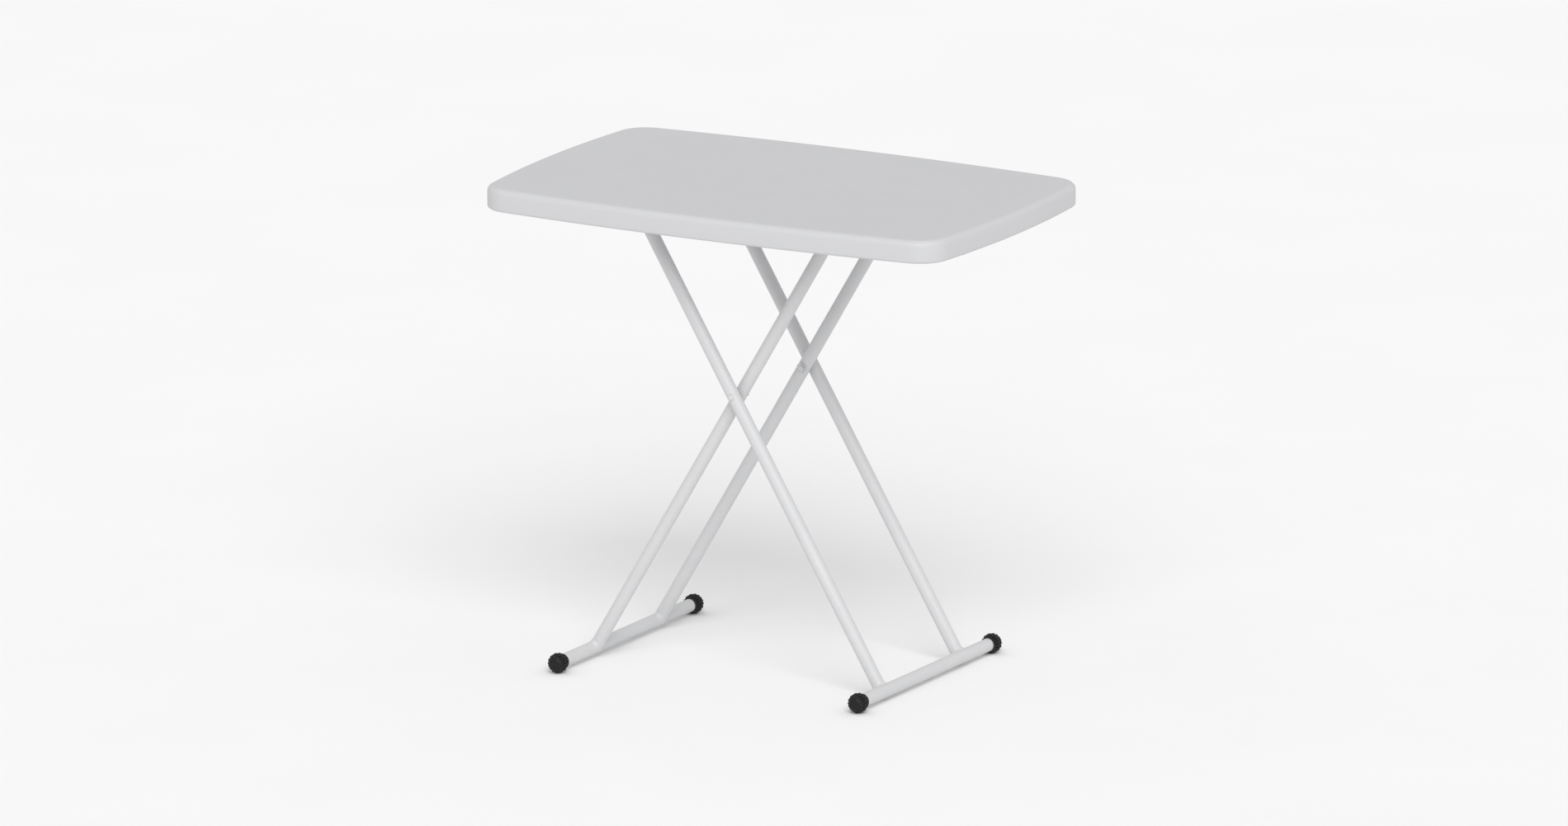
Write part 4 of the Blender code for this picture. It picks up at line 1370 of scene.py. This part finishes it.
@dataclass
class ReleaseBail(Assembly):
    """Sprung wire bail that keeps the inner crossbar up, with its grip, brackets and springs.

    Attributes:
        wire: radius of the bail's wire.
        corner: radius of its handle corners.
        bracket: thickness of the brackets.
        spring_wire: radius of the spring wire.
        spring_radius: mean radius of the spring coils.
        turns: full turns of each spring.
        arm: from the plane Y = 0 to each side arm of the wire.
        play: gap round the wire in the grip and the brackets.
        grip_fade: length over which the grip's ridges fade at its ends.
        ridge_pitch: distance between the ridges.
    """

    wire: float = 0.00175
    corner: float = 0.010
    bracket: float = 0.0015
    spring_wire: float = 0.0005
    spring_radius: float = 0.0034
    turns: float = 3.25
    arm: float = 0.060
    play: float = 0.0002
    grip_fade: float = 0.004
    ridge_pitch: float = 0.008

    def __post_init__(self) -> None:
        """Read the bail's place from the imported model."""
        span = Span.of("release_bail_wire")
        self.left = span.low.x + self.wire
        self.right = span.high.x - self.wire
        self.pin = span.high.y
        self.z = span.centre.z

    def corner_points(self, corner: Vector, before: Vector, after: Vector, radius: float) -> list[Vector]:
        """Points round a square bend.

        Args:
            corner: where the straight lines meet.
            before: the point before it.
            after: the point after it.
            radius: the bend's radius.
        Returns:
            Points along the bend.
        """
        back, on = (before - corner).normalized(), (after - corner).normalized()
        centre = corner + (back + on) * radius
        turns = (QUARTER * step / 10 for step in range(11))
        return [centre - on * radius * math.cos(turn) - back * radius * math.sin(turn) for turn in turns]

    def bail(self) -> None:
        """The bent wire."""
        corners = [Vector((x, y, self.z)) for x, y in (
            (self.left, self.pin), (self.left, self.arm), (self.right, self.arm), (self.right, -self.arm),
            (self.left, -self.arm), (self.left, -self.pin))]
        route = [corners[0]]
        for index, radius in enumerate((self.wire * 2, self.corner, self.corner, self.wire * 2), start=1):
            route += self.corner_points(corners[index], corners[index - 1], corners[index + 1], radius)
        route.append(corners[-1])
        piece = self.shop.sweep.bar("bail_wire", route, self.wire, 24)
        self.shop.finish(piece, Slot.SPRING_STEEL, Body.BAIL, "release_bail_wire")

    def grip(self) -> None:
        """The plastic sleeve on the handle, with finger ridges."""
        span = Span.of("release_grip")
        half, wide, bore, steps = span.size.y / 2, span.size.x / 2, self.wire + self.play, 56
        profile = [(bore, half)]
        for step in range(steps + 1):
            along = half - 2 * half * step / steps
            inside = min(1.0, (half - abs(along)) / self.grip_fade)
            ridge = 0.5 + 0.5 * math.cos(TAU * along / self.ridge_pitch)
            profile.append((wide * (0.80 + 0.10 * math.sqrt(inside) + 0.10 * ridge * inside), along))
        profile.append((bore, -half))
        piece = turned("bail_grip", profile, span.centre, ACROSS, 40, hollow=True)
        self.shop.finish(piece, Slot.BLACK_PLASTIC, Body.BAIL, "release_grip")

    def bracket_piece(self, side: str, sign: float) -> None:
        """An angle bracket with an eye for the bail's end.

        Args:
            side: front or rear.
            sign: -1 for front, 1 for rear.
        """
        span = Span.of(f"bail_bracket_{side}")
        half, top = span.size.x / 2, span.high.z
        centre_x, inner, outer = span.centre.x, span.inner, span.outer
        web = [(centre_x + half, top), (centre_x - half, top)]
        web += [(centre_x + half * math.cos(turn), self.z + 0.8 * half * math.sin(turn))
                for turn in (-math.pi + math.pi * step / 24 for step in range(25))]
        plate = prism("web", web, sign * inner, sign * (inner + self.bracket))
        ends = sorted((sign * inner, sign * outer))
        flange = prism("flange", [(centre_x - half, top - self.bracket),
                                  (centre_x + half, top - self.bracket),
                                  (centre_x + half, top), (centre_x - half, top)], *ends)
        eye = prism("eye", arc((centre_x, self.z), self.wire + self.play, 0.0, TAU * 31 / 32, 31),
                    sign * (inner - 0.002), sign * (inner + 0.004))
        carve(plate, [flange], "UNION")
        carve(plate, [eye])
        piece = softened(plate, f"{side}_bail_bracket", 0.0003, 2, [flange, eye])
        self.shop.finish(piece, Slot.ZINC, Body.TOP, f"bail_bracket_{side}")

    def spring(self, side: str, sign: float) -> None:
        """A torsion spring round the bail's pin.

        Args:
            side: front or rear.
            sign: -1 for front, 1 for rear.
        """
        span = Span.of(f"bail_spring_{side}")
        thin, radius, per_turn = self.spring_wire, self.spring_radius, 28
        start_y = span.outer - thin
        pitch = 2.6 * thin
        points = [Vector((self.left - radius, sign * start_y, span.high.z - thin))]
        steps = round(self.turns * per_turn)
        for step in range(steps + 1):
            turn = math.pi + TAU * step / per_turn
            points.append(Vector((self.left + radius * math.cos(turn),
                                  sign * (start_y - pitch * step / per_turn),
                                  self.z + radius * math.sin(turn))))
        under = self.z - self.wire - thin - 0.0003
        last = abs(points[-1].y)
        reach = span.high.x - thin
        for back, inwards, drop in ((0.0036, 0.0, 0.0004), (0.0010, 0.0004, 0.0001), (0.0, 0.0014, 0.0)):
            points.append(Vector((reach - back, sign * (last - inwards), under - drop)))
        points.append(Vector((reach, sign * (self.arm - 0.002), under)))
        piece = self.shop.sweep.bar(f"{side}_bail_spring", points, thin, 12)
        coil = [Vector((self.left, sign * y, self.z)) for y in (start_y - thin, last + thin)]
        self.shop.finish(piece, Slot.SPRING_STEEL, Winding(Body.TOP, Body.BAIL, *coil),
                         f"bail_spring_{side}")

    def build(self) -> None:
        """Make the bail and what carries it."""
        self.bail()
        self.grip()
        for side, sign in SIDES:
            self.bracket_piece(side, sign)
            self.spring(side, sign)


@dataclass
class Fasteners(Assembly):
    """Pan-head screws with a cross recess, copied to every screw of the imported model.

    Attributes:
        shank: radius of the thread.
        head: radius of the head.
        rise: height of the head.
        thread_pitch: pitch of the thread.
    """

    shank: float = 0.0019
    head: float = 0.0040
    rise: float = 0.0022
    thread_pitch: float = 0.0012

    def template(self, length: float) -> bpy.types.Object:
        """One screw, its head's seat at the origin and its point up.

        Args:
            length: length below the head.
        Returns:
            The screw.
        """
        dome = [(self.head * math.sin(turn), -self.rise * (0.25 + 0.75 * math.cos(turn)))
                for turn in (0.0, 0.35, 0.7, 1.05, 1.35, QUARTER)]
        profile = dome + [(self.head, -0.0002), (self.head - 0.0002, 0.0)]
        threads = int((length - 0.003) / self.thread_pitch)
        for thread in range(threads):
            base = thread * self.thread_pitch
            profile += [(self.shank * 0.80, base + 0.0001),
                        (self.shank * 0.80, base + self.thread_pitch * 0.55),
                        (self.shank, base + self.thread_pitch * 0.80)]
        profile += [(self.shank * 0.8, length - 0.0028), (0.0, length)]
        screw = turned("screw", profile, Vector((0.0, 0.0, 0.0)), UP, 24)
        arm, slot, deep = self.head * 0.52, self.head * 0.13, self.rise * 0.62
        bars = []
        for wide, tall in ((arm, slot), (slot, arm)):
            ring = [(-wide, -self.rise - 0.001), (wide, -self.rise - 0.001),
                    (wide * 0.8, -self.rise + deep),
                    (-wide * 0.8, -self.rise + deep)]
            bars.append(prism("recess", ring, -tall, tall))
        carve(screw, bars)
        return applied(screw, "screw_template", bars)

    def build(self) -> None:
        """Make each kind of screw."""
        for kind, each in (("rack", 3), ("hinge", 2), ("bracket", 1)):
            nodes = [f"{kind}_screw_{side}_{number}"
                     for side, _ in SIDES for number in range(1, each + 1)]
            spans = [Span.of(node) for node in nodes]
            length = spans[0].size.z - self.rise
            places = [Vector((span.centre.x, span.centre.y, span.low.z + self.rise)) for span in spans]
            group = self.shop.scatter.spread(f"{kind}_screws", self.template(length), places, math.pi, 11)
            self.shop.finish(group, Slot.ZINC, Body.TOP, *nodes, angle=30.0)


# ---- studio
@dataclass
class Studio:
    """Floor, light and camera.

    Attributes:
        azimuth: the camera's bearing, in degrees.
        elevation: its height above the horizon, in degrees.
        view_width: width of the view at the target.
        distance: camera to target.
        target: the point in the middle of the view.
        surround: strength of the even surround.
        floor_tones: the two greys of the floor.
        key_azimuth: the key light's bearing, in degrees.
        key_elevation: its height, in degrees.
        key_spread: the angle it fills, in degrees.
        key_strength: its irradiance.
    """

    azimuth: float = 28.72
    elevation: float = 13.56
    view_width: float = 2.234
    distance: float = 40.0
    target: tuple[float, float, float] = (0.0011, 0.0054, 0.3671)
    surround: float = 0.66
    floor_tones: tuple[float, float] = (0.935, 0.945)
    key_azimuth: float = 33.0
    key_elevation: float = 41.0
    key_spread: float = 40.0
    key_strength: float = 1.66

    def direction(self, azimuth: float, elevation: float) -> Vector:
        """The unit vector from the target towards a bearing and height."""
        a, e = math.radians(azimuth), math.radians(elevation)
        return Vector((math.sin(a) * math.cos(e), -math.cos(a) * math.cos(e), math.sin(e)))

    def camera(self) -> None:
        """A long lens at the chosen angle."""
        data = bpy.data.cameras.new("camera")
        data.sensor_width = 36.0
        data.lens = self.distance / self.view_width * data.sensor_width
        data.clip_start, data.clip_end = 1.0, 400.0
        camera = linked("camera", data)
        back = self.direction(self.azimuth, self.elevation)
        camera.location = Vector(self.target) + back * self.distance
        camera.rotation_euler = (-back).to_track_quat("-Z", "Y").to_euler()
        bpy.context.scene.camera = camera

    def floor(self) -> None:
        """A wide pale floor, clear when seen from below."""
        shape = bmesh.new()
        bmesh.ops.create_grid(shape, x_segments=40, y_segments=40, size=30.0)
        floor = object_of(shape, "studio_floor", heal=False)
        made, wire, inputs, place = new_material("pale_floor")
        mottle = wire.ramp(wire.noise(place, 3.0, 3.0), 0.3, 0.7)
        tones = [(grey, grey, grey, 1.0) for grey in self.floor_tones]
        below = wire.node("ShaderNodeNewGeometry").outputs["Backfacing"]
        for name, value in (("Base Color", wire.blend(mottle, *tones)), ("Roughness", 0.9),
                            ("Alpha", wire.math("SUBTRACT", 1.0, below)), ("Specular IOR Level", 0.1)):
            wire.feed(inputs[name], value)
        floor.data.materials.append(made)

    def key(self) -> None:
        """A broad, distant key light."""
        data = bpy.data.lights.new("key_light", "SUN")
        data.angle, data.energy = math.radians(self.key_spread), self.key_strength
        lamp = linked("key_light", data)
        back = self.direction(self.key_azimuth, self.key_elevation)
        lamp.location = Vector(self.target) + back * 6.0
        lamp.rotation_euler = (-back).to_track_quat("-Z", "Y").to_euler()

    def world(self) -> None:
        """An even white surround."""
        world = bpy.data.worlds.new("surround")
        world.use_nodes = True
        background = world.node_tree.nodes["Background"]
        background.inputs["Color"].default_value = (1.0, 1.0, 1.0, 1.0)
        background.inputs["Strength"].default_value = self.surround
        bpy.context.scene.world = world

    def build(self) -> None:
        """Set the studio up."""
        self.camera()
        self.floor()
        self.world()
        self.key()
        bpy.context.scene.view_settings.view_transform = "Standard"


def main() -> None:
    """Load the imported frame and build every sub-assembly around it."""
    logging.basicConfig(level=logging.INFO, format="%(name)s: %(message)s")
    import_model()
    Studio().build()
    shop = Workshop()
    frames = TubeFrame(shop, "outer", Body.OUTER), TubeFrame(shop, "inner", Body.INNER)
    under_top = PivotHardware(shop), Saddles(shop), HeightRack(shop), ReleaseBail(shop), Fasteners(shop)
    for assembly in (Tabletop(shop), *frames, *under_top):
        assembly.build()
        LOG.info("built %s", type(assembly).__name__)


if __name__ == "__main__":
    main()
